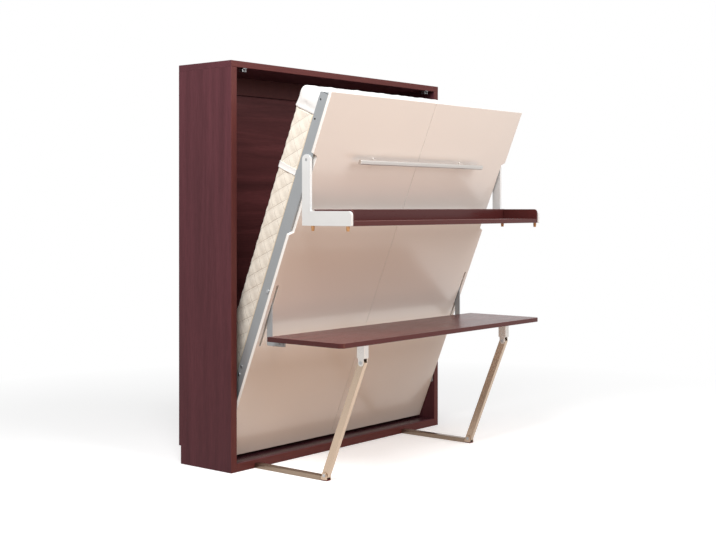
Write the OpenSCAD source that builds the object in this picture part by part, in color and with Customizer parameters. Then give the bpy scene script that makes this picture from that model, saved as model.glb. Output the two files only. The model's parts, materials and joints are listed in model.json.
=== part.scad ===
// Wall bed with a desk and a shelf that stay level while the bed folds down.
// Millimetres. X runs along the cabinet, +Y points to the wall, +Z is up.
// The origin lies on the floor, at the middle of the whole object's footprint.
//
// The bed turns about a low pivot in the cabinet. The desk hangs on the bed's
// side rails and stands on two legs of the same length as its pivot's height
// along the bed, so bed, desk and legs are a parallelogram. A link in each
// rail ties a crank on the desk arm to a crank on the shelf arm, and holds the
// shelf level in the same way. When the bed is down, legs and shelf stand
// under it.

/* [Cabinet] */
// Overall width of the cabinet
cabinet_w = 1880; // [1500:10:2300]
// Overall height of the cabinet
cabinet_h = 2200; // [1800:10:2700]
// Overall depth of the cabinet, wall to front edge
cabinet_d = 410; // [340:5:500]
// Thickness of the side panels
side_t = 42; // [25:1:50]
// Thickness of the top panel
top_t = 34; // [20:1:45]
// Height of the base's top face above the floor
base_h = 45; // [40:1:60]
// Thickness of the base board
base_board_t = 19; // [12:1:20]
// Thickness of the front rail under the base board
front_rail_t = 24; // [16:1:40]
// Thickness of the back panel
back_t = 8; // [4:1:16]
// Distance of the back panel's rear face from the wall
back_inset = 8; // [4:1:20]
// Height of the two rear rails
rear_rail_h = 100; // [60:5:150]
// Thickness of the two rear rails
rear_rail_t = 22; // [15:1:30]
// Height of the notch that clears the room's skirting
skirting_h = 100; // [40:5:150]
// Depth of the notch that clears the room's skirting
skirting_d = 15; // [8:1:30]
// Radius of the eased front edges of the boards
board_ease = 2; // [0.5:0.5:4]
// Distance between the wall fixing holes along the cabinet
fixing_w = 1200; // [800:10:1300]
// Radius of the wall fixing holes
fixing_r = 4.5; // [3:0.5:7]

/* [Bed] */
// Angle of the bed from upright as it stands
bed_tilt = 22; // [5:1:70]
// Distance of the bed's pivot behind the cabinet's front edges
pivot_back = 36; // [30:1:60]
// Radius of the main pivot pins
pivot_r = 10; // [6:0.5:12]
// Thickness of the face panels
panel_t = 18; // [12:1:22]
// Distance from the bed's pivot to the front of the face panels
panel_front = 44; // [40:1:60]
// Gap between the face panels and the cabinet's sides
panel_gap = 4; // [3:0.5:8]
// Gap between the two face panels
panel_seam = 2; // [1:0.5:4]
// Gap between the swinging bed and the cabinet's top
top_clear = 27; // [10:1:60]
// Gap between the swinging bed and the base
base_clear = 5; // [3:0.5:20]
// Gap between the swinging face panels and the back panel
tail_clear = 35.5; // [15:0.5:60]
// Distance of the side rails in from the face panels' edges
rail_inset = 20; // [19:0.5:26]
// Depth of the side rails
rail_d = 74; // [70:1:90]
// Width of the side rails' flanges
rail_flange = 32; // [30:1:45]
// Wall of the side rails
rail_wall = 4; // [2.5:0.5:5]
// Distance of the rails' top end below the face panels' top edge
rail_drop = 26; // [10:1:60]
// Distance of the rails' lower end above the face panels' lower edge
rail_lift = 20; // [10:1:60]
// Side of the square cross tubes
cross_tube = 30; // [20:1:40]
// Number of cross tubes
cross_count = 3; // [2:1:4]
// Width of the centre beam
beam_w = 50; // [30:2:70]
// Wall of the cross tubes and of the centre beam
tube_wall = 2; // [1.5:0.5:3]
// Number of slat rows
slat_count = 12; // [8:1:13]
// Width of a slat
slat_w = 53; // [38:1:70]
// Thickness of a slat
slat_t = 8; // [6:1:9]

/* [Mattress] */
// Gap between the mattress's sides and the side rails
mattress_side_gap = 22; // [18:1:60]
// Thickness of the mattress at its edge
mattress_t = 184; // [140:1:200]
// Rise of the crowned faces at their middle
mattress_crown = 8; // [2:1:14]
// Swell of the sides between their upper and lower edges
side_swell = 5; // [1:1:8]
// Depth of the seams between the mattress's tufts
tuft_depth = 5; // [1:0.5:8]
// Rows of tufts along the mattress
tuft_rows = 9; // [5:1:10]
// Columns of tufts across the mattress
tuft_columns = 6; // [4:1:7]
// Rounding of the mattress's long edges
mattress_round = 26; // [12:1:40]
// Gap between the swinging mattress and the back panel
mattress_clear = 10; // [6:1:30]
// Length of the white end cover
cover_len = 118; // [80:2:180]
// Distance of the cover's end below the face panels' top edge
cover_drop = 46; // [30:1:80]
// Width of the retaining strap
strap_w = 33; // [20:1:50]
// Thickness of the retaining strap
strap_t = 2.5; // [1.5:0.5:4]
// Distance of the strap's middle below the face panels' top edge
strap_drop = 483; // [300:1:600]

/* [Handle] */
// Length of the handle bar
handle_len = 1150; // [600:10:1300]
// Width of the handle bar, along the bed
handle_w = 28; // [20:1:40]
// Thickness of the handle bar
handle_t = 16; // [12:1:24]
// Distance between the two handle posts
post_gap = 810; // [400:10:900]
// Radius of a handle post
post_r = 7; // [5:0.5:10]
// Clear space between the handle bar and the face panels
handle_clear = 43; // [30:1:60]
// Distance of the handle below the face panels' top edge
handle_drop = 346; // [200:1:500]

/* [Legs] */
// Distance between a leg's two pivots, and from the bed's pivot to the desk's
leg_len = 650; // [520:5:780]
// Width of the leg tubes in their plane of motion
leg_w = 40; // [25:1:44]
// Thickness of the leg tubes
leg_t = 25; // [18:1:30]
// Height of the foot pivots above the floor
foot_pivot_h = 28; // [26:0.5:36]
// Distance of the foot pivots in front of the cabinet
foot_front = 495; // [420:5:560]
// Distance of the left leg from the cabinet's left end
leg_left_inset = 200; // [150:5:400]
// Distance of the right leg from the cabinet's right end
leg_right_inset = 367; // [150:1:400]
// Radius of the leg pivots' pins
leg_pin_r = 5; // [3:0.5:7]
// Height of the floor tubes
floor_tube_h = 25; // [18:1:26]
// Width of the floor tubes
floor_tube_w = 40; // [38:1:50]
// Length of the floor tubes under the base board
floor_tube_in = 150; // [60:5:250]

/* [Desk] */
// Thickness of the desk top
desk_t = 25; // [18:1:32]
// Distance of the desk's ends in from the cabinet's ends
desk_inset = 5; // [0:1:50]
// Distance of the desk's front edge in front of the leg's upper pivot
desk_over = 27; // [26:1:60]
// Gap between the desk's back edge and the face panels with the bed upright
desk_gap = 6; // [4:1:20]
// Radius of the desk's front corners
desk_corner = 30; // [5:1:60]
// Height of the leg sockets under the desk, down to the fork
socket_h = 66; // [40:1:100]
// Depth of the leg sockets
socket_d = 50; // [48:1:60]
// Width of the desk arms
arm_w = 35; // [24:1:36]
// Thickness of the desk arms
arm_t = 6; // [4:0.5:8]
// Height of the desk arm's foot under the desk
arm_foot_h = 30; // [20:1:45]
// Length of the desk arm's foot in front of its pivot
arm_foot_len = 108; // [80:1:200]
// Radius of the desk arm's pivot bolts
desk_bolt_r = 7; // [5:0.5:9]
// Radius of the cranks on the desk arms and on the shelf arms
crank_r = 32; // [28:0.5:33]

/* [Shelf] */
// Distance of the shelf's pivot below the face panels' top edge
shelf_pivot_drop = 376; // [340:1:450]
// Distance of the shelf's pivot in front of the bed's pivot line
shelf_pivot_front = 6; // [4:0.5:7]
// Width of the shelf arms' upright
shelf_arm_w = 55; // [40:1:58]
// Thickness of the shelf arms
shelf_arm_t = 16; // [12:0.5:16.5]
// Height of the shelf arms' level part
shelf_arm_h = 75; // [50:1:100]
// Reach of the shelf arms in front of their pivot
shelf_reach = 299; // [220:1:360]
// Radius of the shelf arms' front upper corner
shelf_nose_r = 22; // [5:1:35]
// Thickness of the shelf board
shelf_board_t = 25; // [16:1:30]
// Height of the upstand above the shelf board
upstand_h = 58; // [20:1:90]
// Thickness of the upstand
upstand_t = 18; // [12:1:25]
// Height of the feet under the shelf arms
foot_h = 26; // [12:1:30]
// Radius of the feet under the shelf arms
foot_r = 9; // [6:0.5:9]
// Gap between the feet and the floor with the bed down
foot_clear = 4; // [1:0.5:6]
// Radius of the shelf pivots' shafts
shaft_r = 8; // [6:0.5:9]

/* [Gas struts] */
// Distance of both strut pivots from the bed's pivot
strut_ring = 240; // [200:5:260]
// Angle at the bed's pivot between the strut's two ends with the bed down
strut_open_angle = 75; // [70:1:78]
// Radius of the strut tubes
strut_r = 8; // [6:0.5:8]
// Radius of the strut rods
rod_r = 4; // [3:0.5:5]
// Length of the strut tubes from their pivot
strut_tube_len = 262; // [240:2:266]
// Length of rod that stays in the tube with the bed upright
rod_hold = 44; // [30:1:60]

/* [Hidden] */
$fn = 48;

// Running clearance of a pin in its bore, and clearance of an open pivot
pin_clear = 0.05;
open_clear = 0.4;
// Clearance between plates that slide past each other, and beside a leg
plate_gap = 2;
leg_side_gap = 0.5;
// Overcut of a cut that runs through a face
cut = 1;
// Seam between two pieces that lie face to face on the mattress
cloth_gap = 0.6;

// Colours
wood_red = [0.36, 0.16, 0.17];
panel_white = [0.93, 0.90, 0.87];
steel_grey = [0.62, 0.64, 0.65];
arm_white = [0.90, 0.91, 0.92];
leg_champagne = [0.80, 0.72, 0.63];
bright_steel = [0.80, 0.79, 0.77];
cloth_cream = [0.95, 0.91, 0.84];
cloth_white = [0.96, 0.96, 0.95];
slat_birch = [0.80, 0.66, 0.45];
black_plastic = [0.12, 0.12, 0.13];
foot_tan = [0.72, 0.52, 0.33];
glide_red = [0.35, 0.10, 0.10];

// Places along X, measured outward from the middle
half_w = cabinet_w / 2;
desk_w = cabinet_w - 2 * desk_inset;
side_in = half_w - side_t;
panel_x = side_in - panel_gap;
web_out = panel_x - rail_inset;
web_in = web_out - rail_wall;
flange_in = web_out - rail_flange;
shelf_arm_out = panel_x - plate_gap;
shelf_arm_in = shelf_arm_out - shelf_arm_t;
crank_gap = 5;
desk_arm_out = web_in - crank_gap;
desk_arm_in = desk_arm_out - arm_t;
link_t = 5;
link_out = desk_arm_in - plate_gap;
link_in = link_out - link_t;
plate_t = 5;
strut_x = (side_in + web_out) / 2;
leg_x = [-half_w + leg_left_inset, half_w - leg_right_inset];

// The cabinet's inner depth, and the bed's reach below and above its pivot
back_face = cabinet_d - back_inset - back_t;
tail_reach = back_face - pivot_back - tail_clear;
pivot_h = base_h + base_clear + tail_reach;
head_reach = cabinet_h - top_t - top_clear - pivot_h;
panel_down = sqrt(pow(tail_reach, 2) - pow(panel_front, 2));
panel_up = sqrt(pow(head_reach, 2) - pow(panel_front, 2));
panel_back = panel_front - panel_t;
rail_up = panel_up - rail_drop;
rail_down = panel_down - rail_lift;
rail_back = rail_d - panel_back;

// Pivots as [y, z]: on the bed in the bed's own frame, and as they stand
function turned(p, a) = [p[0] * cos(a) - p[1] * sin(a), p[0] * sin(a) + p[1] * cos(a)];
shelf_up = panel_up - shelf_pivot_drop;
desk_on_bed = [0, leg_len];
shelf_on_bed = [-shelf_pivot_front, shelf_up];
bed_pivot = [pivot_back, pivot_h];
desk_pivot = bed_pivot + turned(desk_on_bed, bed_tilt);
shelf_pivot = bed_pivot + turned(shelf_on_bed, bed_tilt);
foot_pivot = [-foot_front, foot_pivot_h];
leg_top = foot_pivot + turned([0, leg_len], bed_tilt);

// The crank points back and up, and the link runs beside the two pivots
crank = crank_r * [cos(45), sin(45)];
crank_hub_r = 14;
crank_end_r = 9;
crank_pin_r = 4;
crank_half = 8;
link_half = 7;

// Desk heights from its pivot on the bed, and its edges
leg_end_r = leg_w / 2;
fork_clear = 2;
desk_bottom = leg_top[1] + leg_end_r + fork_clear + socket_h - desk_pivot[1];
desk_front = leg_top[0] - desk_over - desk_pivot[0];
desk_rear = -panel_front - desk_gap;
arm_drop = desk_bottom - arm_foot_h;

// Shelf heights from its pivot on the bed, and its edges
feet_drop = pivot_h - shelf_pivot_front - foot_clear;
shelf_bottom = -(feet_drop - foot_h);
board_rear = -(panel_front - shelf_pivot_front + 2 * plate_gap);
shelf_end_gap = 0.5;

// The gas struts: both ends lie on one circle round the bed's pivot, so the
// strut turns at exactly half the bed's rate
strut_top = strut_ring * [-cos(180 - strut_open_angle), sin(180 - strut_open_angle)];
strut_low = [0, -strut_ring];
strut_low_now = turned(strut_low, bed_tilt);
strut_dir = strut_low_now - strut_top;
strut_angle = atan2(-strut_dir[0], strut_dir[1]);
strut_len_up = norm(strut_low - strut_top);
strut_len_now = norm(strut_dir);
rod_len = strut_len_up - strut_tube_len + rod_hold;
stud_r = 4;
eye_r = 8;
eye_t = 8;
eye_gap = 0.5;

// The slots that the desk arms pass through
slot_clear = 4;
slot_w = arm_t + 2 * slot_clear;
slot_x = (desk_arm_out + desk_arm_in) / 2;
slot_top = leg_len + arm_w + slot_w / 2 + slot_clear;
slot_low = leg_len + arm_drop - 2 * slot_clear;

// The recesses that the shelf arms lie in
recess_clear = 6;
recess_x = shelf_arm_in - shelf_arm_t;
recess_top = shelf_up + shelf_arm_w / 2 + recess_clear;
recess_low = shelf_up - feet_drop - 4 * recess_clear;
recess_slope = 14;

// Mattress and strap
mattress_w = 2 * (flange_in - mattress_side_gap);
holder_wall = 2;
cover_t = 4;
slat_y = rail_back - slat_t - holder_wall;
mattress_y = rail_back + cover_t + 2;
mattress_back = mattress_y + mattress_t + mattress_crown;
mattress_reach = back_face - pivot_back - mattress_clear;
mattress_down = sqrt(pow(mattress_reach, 2) - pow(mattress_back, 2));
cover_up = panel_up - cover_drop;
cover_low = cover_up - cover_len;
strap_mid = panel_up - strap_drop;

// Frame: the footprint's middle lies between the wall and the foremost edge
front_most = max(-(desk_pivot[0] + desk_front), shelf_reach - shelf_pivot[0]);
origin_y = (front_most - cabinet_d) / 2;

// ---- Frames ----
module in_cabinet() translate([0, origin_y, 0]) children();
module in_bed() in_cabinet() translate([0, pivot_back, pivot_h]) rotate([bed_tilt, 0, 0]) children();
module in_desk() in_cabinet() translate([0, desk_pivot[0], desk_pivot[1]]) children();
module in_shelf() in_cabinet() translate([0, shelf_pivot[0], shelf_pivot[1]]) children();
module in_leg(x) in_cabinet() translate([x, foot_pivot[0], foot_pivot[1]])
    rotate([bed_tilt, 0, 0]) children();
module in_strut() in_cabinet() translate([0, pivot_back + strut_top[0], pivot_h + strut_top[1]])
    rotate([strut_angle, 0, 0]) children();

// Pieces are drawn for the right-hand side; side -1 turns them to the left
module on_side(side) mirror([side < 0 ? 1 : 0, 0, 0]) children();
module both_sides() for (side = [-1, 1]) on_side(side) children();

// ---- Shapes ----
// A (y, z) outline extruded along X from x0 to x1
module along_x(x0, x1) translate([x0, 0, 0]) rotate([90, 0, 90])
    linear_extrude(height = x1 - x0) children();
// A round bar or bore along X
module rod_x(r, x0, x1, p = [0, 0]) translate([x0, p[0], p[1]]) rotate([0, 90, 0])
    cylinder(r = r, h = x1 - x0);
// A box from its low corner to its high corner
module box(a, b) translate(a) cube(b - a);
// The part of a square corner that a round of radius r removes or fills
module corner(p, turn, r) translate(p) rotate(turn) difference() {
    translate([-0.01, -0.01]) square(r + 0.01);
    translate([r, r]) circle(r);
}
module cut_corner(p, turn, r) translate(p) rotate(turn) difference() {
    translate([-cut, -cut]) square(r + cut);
    translate([r, r]) circle(r);
}
// A bar of a half width between two points, with round ends of their own radii
module bar(p, q, r0, r1, half) {
    d = q - p;
    translate(p) circle(r0);
    translate(q) circle(r1);
    translate(p) rotate(atan2(d[1], d[0])) translate([0, -half]) square([norm(d), 2 * half]);
}
// A rectangle from a to b with rounded corners
module round_rect(a, b, r) difference() {
    translate(a) square(b - a);
    cut_corner(a, 0, r);
    cut_corner([b[0], a[1]], 90, r);
    cut_corner(b, 180, r);
    cut_corner([a[0], b[1]], 270, r);
}
// A square hollow section as a (y, z) outline
module hollow(a, b, wall) difference() {
    round_rect(a, b, wall);
    translate(a + [wall, wall]) square(b - a - 2 * [wall, wall]);
}
// A hexagon bolt head whose axis runs along X
module bolt_head(across, h, x0, p) translate([x0, p[0], p[1]]) rotate([0, 90, 0])
    cylinder(r = across / sqrt(3), h = h, $fn = 6);

// ---- Cabinet ----
// Outline of the steel plate that is let into each side panel, round the main
// pin and the strut's stud
plate_front = -pivot_back + 12;
plate_low = -90;
plate_margin = 30;
plate_corner = 12;
plate_bolt_in = 14;
plate_bolt_r = 7;
plate_bolt_h = 1;
plate_fit = 0.3;
module plate_outline(grow) round_rect(
    [plate_front - grow, plate_low - grow],
    [strut_top[0] + plate_margin + grow, strut_top[1] + plate_margin + grow], plate_corner + grow);
module pivot_plate(side) color(steel_grey) in_cabinet() on_side(side)
    translate([0, pivot_back, pivot_h]) {
        front = plate_front + plate_bolt_in;
        rear = strut_top[0] + plate_margin - plate_bolt_in;
        low = plate_low + plate_bolt_in;
        top = strut_top[1] + plate_margin - plate_bolt_in;
        difference() {
            along_x(side_in, side_in + plate_t) plate_outline(0);
            rod_x(pivot_r, side_in - cut, side_in + plate_t + cut);
        }
        rod_x(stud_r, strut_x - eye_t / 2 - 2 * eye_gap, side_in + plate_t / 2, strut_top);
        for (p = [[front, low], [rear, low], [front, top], [rear, top], [rear, 0]])
            rod_x(plate_bolt_r, side_in - plate_bolt_h, side_in + plate_t / 2, p);
    }

module side_panel(side) color(wood_red) in_cabinet() on_side(side) difference() {
    linear_extrude(height = cabinet_h - top_t) difference() {
        translate([side_in, 0]) square([side_t, cabinet_d]);
        cut_corner([side_in, 0], 0, board_ease);
        cut_corner([half_w, 0], 90, board_ease);
    }
    box([side_in - cut, cabinet_d - skirting_d, -cut], [half_w + cut, cabinet_d + cut, skirting_h]);
    translate([0, pivot_back, pivot_h]) along_x(side_in - cut, side_in + plate_t) plate_outline(plate_fit);
}

module top_panel() color(wood_red) in_cabinet() along_x(-half_w, half_w) difference() {
    translate([0, cabinet_h - top_t]) square([cabinet_d, top_t]);
    cut_corner([0, cabinet_h - top_t], 0, board_ease);
    cut_corner([0, cabinet_h], 270, board_ease);
}

module base_board() color(wood_red) in_cabinet()
    box([-side_in, front_rail_t, base_h - base_board_t], [side_in, back_face, base_h]);

// Gap round the floor tubes where they pass the front rail
tube_gap = 0.5;
module front_rail() color(wood_red) in_cabinet() difference() {
    along_x(-side_in, side_in) difference() {
        square([front_rail_t, base_h]);
        cut_corner([0, base_h], 270, board_ease);
    }
    for (x = leg_x)
        box([x - floor_tube_w / 2 - tube_gap, -cut, -cut],
            [x + floor_tube_w / 2 + tube_gap, front_rail_t + cut, floor_tube_h + tube_gap]);
}

fixing_z = [base_h + rear_rail_h / 2, cabinet_h - top_t - rear_rail_h / 2];
module fixing_holes() for (x = [-1, 1] * fixing_w / 2, z = fixing_z)
    translate([x, cabinet_d, z]) rotate([90, 0, 0]) cylinder(r = fixing_r, h = cabinet_d / 2);

module rear_rails() color(wood_red) in_cabinet() difference() {
    for (z = fixing_z)
        box([-side_in, back_face - rear_rail_t, z - rear_rail_h / 2],
            [side_in, back_face, z + rear_rail_h / 2]);
    fixing_holes();
}

module back_panel() color(wood_red) in_cabinet() difference() {
    box([-side_in, back_face, base_h - base_board_t], [side_in, back_face + back_t, cabinet_h - top_t]);
    fixing_holes();
}

// The pin turns in the rail: a shoulder keeps the rail off the plate
pin_head_h = 6;
pin_head_across = 24;
pin_grip = pin_head_h * 2;
pin_shoulder = 5;
shoulder_gap = 0.5;
module main_pins() color(bright_steel) in_cabinet() translate([0, pivot_back, pivot_h]) both_sides() {
    rod_x(pivot_r, web_in - pin_grip, side_in + plate_t);
    rod_x(pivot_r + pin_shoulder, web_out + shoulder_gap, side_in);
    bolt_head(pin_head_across, pin_head_h, web_in - pin_grip, [0, 0]);
}

// Small catches under the top panel, near its ends: two cheeks and a roller
catch_x = side_in - 70;
catch_half = 14;
catch_t = 3;
catch_h = 20;
catch_y = [8, 48];
roller_r = 6;
module catches() color(bright_steel) in_cabinet() both_sides() {
    z = cabinet_h - top_t;
    box([catch_x - catch_half, catch_y[0], z - catch_t], [catch_x + catch_half, catch_y[1], z]);
    for (x = [-catch_half, catch_half - catch_t])
        box([catch_x + x, catch_y[0] + roller_r, z - catch_h],
            [catch_x + x + catch_t, catch_y[1] - roller_r, z - catch_t]);
    rod_x(roller_r, catch_x - catch_half + catch_t, catch_x + catch_half - catch_t,
          [(catch_y[0] + catch_y[1]) / 2, z - catch_h + roller_r]);
}

// Stops behind the side rails: a rubber pad on an angle
stop_t = 4;
stop_half = 30;
stop_leg = 50;
stop_gap = 0.5;
stop_drop = 230;
pad_r = 12;
stop_z = pivot_h + rail_up - stop_drop;
stop_y = pivot_back + rail_back + stop_gap;
module stop_brackets() color(steel_grey) in_cabinet() both_sides() {
    y = stop_y + pad_r;
    box([side_in - stop_t, y, stop_z - stop_half], [side_in, y + stop_leg, stop_z + stop_half]);
    box([flange_in + stop_t / 2, y, stop_z - stop_half], [side_in - stop_t, y + stop_t, stop_z + stop_half]);
}
module stop_pads() color(black_plastic) in_cabinet() both_sides()
    translate([(web_out + flange_in) / 2, stop_y, stop_z]) rotate([-90, 0, 0])
        cylinder(r = pad_r, h = pad_r);

// Tubes on the floor that run out from under the base board to the legs
tube_end_gap = 4;
module floor_tube(side) color(leg_champagne) in_cabinet()
    translate([leg_x[side > 0 ? 1 : 0], floor_tube_in, 0]) rotate([90, 0, 0])
        linear_extrude(height = floor_tube_in + foot_front - leg_end_r - tube_end_gap)
            hollow([-floor_tube_w / 2, 0], [floor_tube_w / 2, floor_tube_h], tube_wall);

// Forks in the floor tubes' ends, round the legs' lower ends
fork_t = 5;
fork_in = leg_t / 2 + leg_side_gap;
fork_r = leg_end_r - 3;
fork_grip = 50;
fork_fit = 0.2;
fork_top = floor_tube_h - tube_wall - fork_fit;
glide_h = 5;
leg_head_rim = 4;
leg_head_t = 3;
module foot_forks() color(bright_steel) in_cabinet() for (x = leg_x) translate([x, 0, 0])
    both_sides() difference() {
        along_x(fork_in, fork_in + fork_t) {
            translate(foot_pivot) circle(fork_r);
            translate([foot_pivot[0], glide_h]) square([leg_end_r + fork_grip, fork_top - glide_h]);
            translate([foot_pivot[0] - fork_r, glide_h]) square([fork_r, foot_pivot[1] - glide_h]);
        }
        rod_x(leg_pin_r, fork_in - cut, fork_in + fork_t + cut, foot_pivot);
    }
// A leg's pin and its two flat heads, between two cheeks
module leg_pin(cheeks, p) {
    rod_x(leg_pin_r, -cheeks, cheeks, p);
    both_sides() rod_x(leg_pin_r + leg_head_rim, cheeks, cheeks + leg_head_t, p);
}
module foot_pins() color(bright_steel) in_cabinet() for (x = leg_x)
    translate([x, 0, 0]) leg_pin(fork_in + fork_t, foot_pivot);
module foot_glides() color(glide_red) in_cabinet() for (x = leg_x)
    box([x - fork_in - fork_t, foot_pivot[0] - fork_r, 0],
        [x + fork_in + fork_t, foot_pivot[0] + leg_end_r, glide_h]);

// ---- Bed ----
panel_ease = 1.5;
// Half of the bed's face, with the shelf arm's recess and the desk arm's slot
module face_panel(side) color(panel_white) in_bed() on_side(side)
    translate([0, -panel_back, 0]) rotate([90, 0, 0]) linear_extrude(height = panel_t)
        difference() {
            round_rect([panel_seam / 2, -panel_down], [panel_x, panel_up], panel_ease);
            polygon([
                [panel_x + cut, recess_top + recess_slope], [panel_x, recess_top + recess_slope],
                [recess_x, recess_top], [recess_x, recess_low],
                [panel_x, recess_low - recess_slope], [panel_x + cut, recess_low - recess_slope]
            ]);
            bar([slot_x, slot_low], [slot_x, slot_top], slot_w / 2, slot_w / 2, slot_w / 2);
        }

// Channel open to the bed's middle, pierced for the pivots it carries and with
// two spare holes near its top end
rail_ease = 1.5;
hole_pitch = 104;
hole_top = 38;
hole_r = 5.5;
hole_in = 17;
module side_rail(side) color(steel_grey) in_bed() on_side(side) difference() {
    translate([0, 0, -rail_down]) linear_extrude(height = rail_up + rail_down) difference() {
        round_rect([flange_in, -panel_back], [web_out, rail_back], rail_ease);
        translate([flange_in - cut, -panel_back + rail_wall])
            square([rail_flange + cut - rail_wall, rail_d - 2 * rail_wall]);
    }
    box([slot_x - slot_w / 2, -panel_back - cut, slot_low],
        [slot_x + slot_w / 2, -panel_back + rail_wall + cut, slot_top]);
    rod_x(pivot_r + pin_clear, web_in - cut, web_out + cut);
    rod_x(desk_bolt_r, web_in - cut, web_out + cut, desk_on_bed);
    rod_x(shaft_r + pin_clear, web_in - cut, web_out + cut, shelf_on_bed);
    rod_x(stud_r, web_in - cut, web_out + cut, strut_low);
    for (i = [0, 1])
        rod_x(hole_r, web_in - cut, web_out + cut,
              [rail_back - hole_in, rail_up - hole_top - i * hole_pitch]);
}

// Channels across both ends of the frame, open towards each other
end_rail_w = 36;
module end_rail_outline() difference() {
    round_rect([-panel_back, 0], [rail_back, end_rail_w], rail_ease);
    translate([-panel_back + rail_wall, -cut])
        square([rail_d - 2 * rail_wall, end_rail_w + cut - rail_wall]);
}
module end_rails() color(steel_grey) in_bed() {
    translate([0, 0, rail_up - end_rail_w]) along_x(-flange_in, flange_in) end_rail_outline();
    mirror([0, 0, 1]) translate([0, 0, rail_down - end_rail_w])
        along_x(-flange_in, flange_in) end_rail_outline();
}

frame_span = rail_up + rail_down - 2 * end_rail_w;
function cross_z(i) = -rail_down + end_rail_w + frame_span * (i + 1) / (cross_count + 1);
module cross_tubes() color(steel_grey) in_bed() for (i = [0 : cross_count - 1])
    along_x(-flange_in, flange_in)
        hollow([-panel_back, cross_z(i) - cross_tube / 2],
               [-panel_back + cross_tube, cross_z(i) + cross_tube / 2], tube_wall);

beam_y = [-panel_back + cross_tube, slat_y - holder_wall];
module centre_beam() color(steel_grey) in_bed()
    translate([0, 0, -rail_down + end_rail_w]) linear_extrude(height = frame_span)
        hollow([-beam_w / 2, beam_y[0]], [beam_w / 2, beam_y[1]], tube_wall);

// Slats from rail to rail, in holders on the rails and on the centre beam
holder_len = 26;
slat_ease = 2;
slat_end = flange_in - holder_wall;
function slat_z(i) = -rail_down + end_rail_w + frame_span * (i + 0.5) / slat_count;
module slats() color(slat_birch) in_bed() for (i = [0 : slat_count - 1])
    along_x(-slat_end, slat_end)
        round_rect([slat_y, slat_z(i) - slat_w / 2], [slat_y + slat_t, slat_z(i) + slat_w / 2], slat_ease);
module slat_holder(x0, x1, z) difference() {
    box([x0, slat_y - holder_wall, z - slat_w / 2 - holder_wall],
        [x1, slat_y + slat_t + holder_wall, z + slat_w / 2 + holder_wall]);
    box([x0 - cut, slat_y, z - slat_w / 2], [min(x1 + cut, slat_end), slat_y + slat_t, z + slat_w / 2]);
}
module slat_holders() color(black_plastic) in_bed() for (i = [0 : slat_count - 1]) {
    both_sides() slat_holder(flange_in - holder_len, flange_in, slat_z(i));
    slat_holder(-holder_len / 2, holder_len / 2, slat_z(i));
}

// A ring of the mattress: round edges, swelling sides and a crowned back face.
// puff is 0 on a seam between two rows of tufts and 1 on the rows' middle
edge_steps = 4;
tuft_steps = 3;
face_steps = tuft_columns * tuft_steps;
side_at = [0.2, 0.5, 0.8];
seam_pull = 0.7;
function crowned(t) = 1 - pow(2 * t - 1, 2);
function bump(t) = sin(180 * (t - floor(t)));
function ring(grow, z, puff, dip) =
    let (w = mattress_w / 2 + grow, r = max(mattress_round + grow, 1),
         a = mattress_y - grow, b = mattress_y + mattress_t + grow,
         lift = function (t) mattress_crown * crowned(t) - dip * (1 - puff * bump(t * tuft_columns)),
         swell = side_swell * (1 - seam_pull * (1 - puff)))
    concat(
        [for (i = [0 : edge_steps]) let (t = 90 * i / edge_steps)
            [w - r + r * sin(t), a + r - r * cos(t), z]],
        [for (k = side_at) [w + swell * crowned(k), a + r + (b - a - 2 * r) * k, z]],
        [for (i = [0 : edge_steps]) let (t = 90 * i / edge_steps)
            [w - r + r * cos(t), b - r + r * sin(t), z]],
        [for (i = [1 : face_steps - 1]) let (t = i / face_steps)
            [(w - r) * (1 - 2 * t), b + lift(t), z]],
        [for (i = [0 : edge_steps]) let (t = 90 * i / edge_steps)
            [-w + r - r * sin(t), b - r + r * cos(t), z]],
        [for (k = side_at) [-w - swell * crowned(k), b - r - (b - a - 2 * r) * k, z]],
        [for (i = [0 : edge_steps]) let (t = 90 * i / edge_steps)
            [-w + r - r * cos(t), a + r - r * sin(t), z]]
    );
// A closed body through rings, with flat ends
module loft(rings) {
    n = len(rings[0]);
    m = len(rings);
    polyhedron(
        points = [for (k = rings) each k],
        faces = concat(
            [[for (i = [0 : n - 1]) i]],
            [for (k = [0 : m - 2], i = [0 : n - 1]) let (j = (i + 1) % n)
                each [[k * n + i, (k + 1) * n + i, (k + 1) * n + j],
                      [k * n + i, (k + 1) * n + j, k * n + j]]],
            [[for (i = [0 : n - 1]) (m - 1) * n + n - 1 - i]]
        )
    );
}
round_steps = 3;
foot_share = 0.9;
module mattress() color(cloth_cream) in_bed() {
    low = -mattress_down + mattress_round;
    high = cover_low - cloth_gap;
    rings = tuft_rows * 2;
    loft(concat(
        [for (i = [0 : round_steps - 1]) let (t = 90 * i / round_steps)
            ring(-mattress_round * (1 - sin(t)) * foot_share, low - mattress_round * cos(t), 0, 0)],
        [for (i = [0 : rings]) let (t = i / rings)
            ring(0, low + (high - low) * t, bump(t * tuft_rows), tuft_depth)]
    ));
}
// The cover's end rounds towards the mattress by a share of its radius
cover_round = 40;
cover_share = 0.6;
module mattress_cover() color(cloth_white) in_bed() loft(concat(
    [ring(0, cover_low, 1, 0), ring(cover_t, cover_low + cover_t, 1, 0)],
    [for (i = [0 : 2 * round_steps]) let (t = 90 * i / (2 * round_steps))
        ring(cover_t - cover_round * (1 - cos(t)) * cover_share,
             cover_up - cover_round * (1 - sin(t)), 1, 0)]
));

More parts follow.
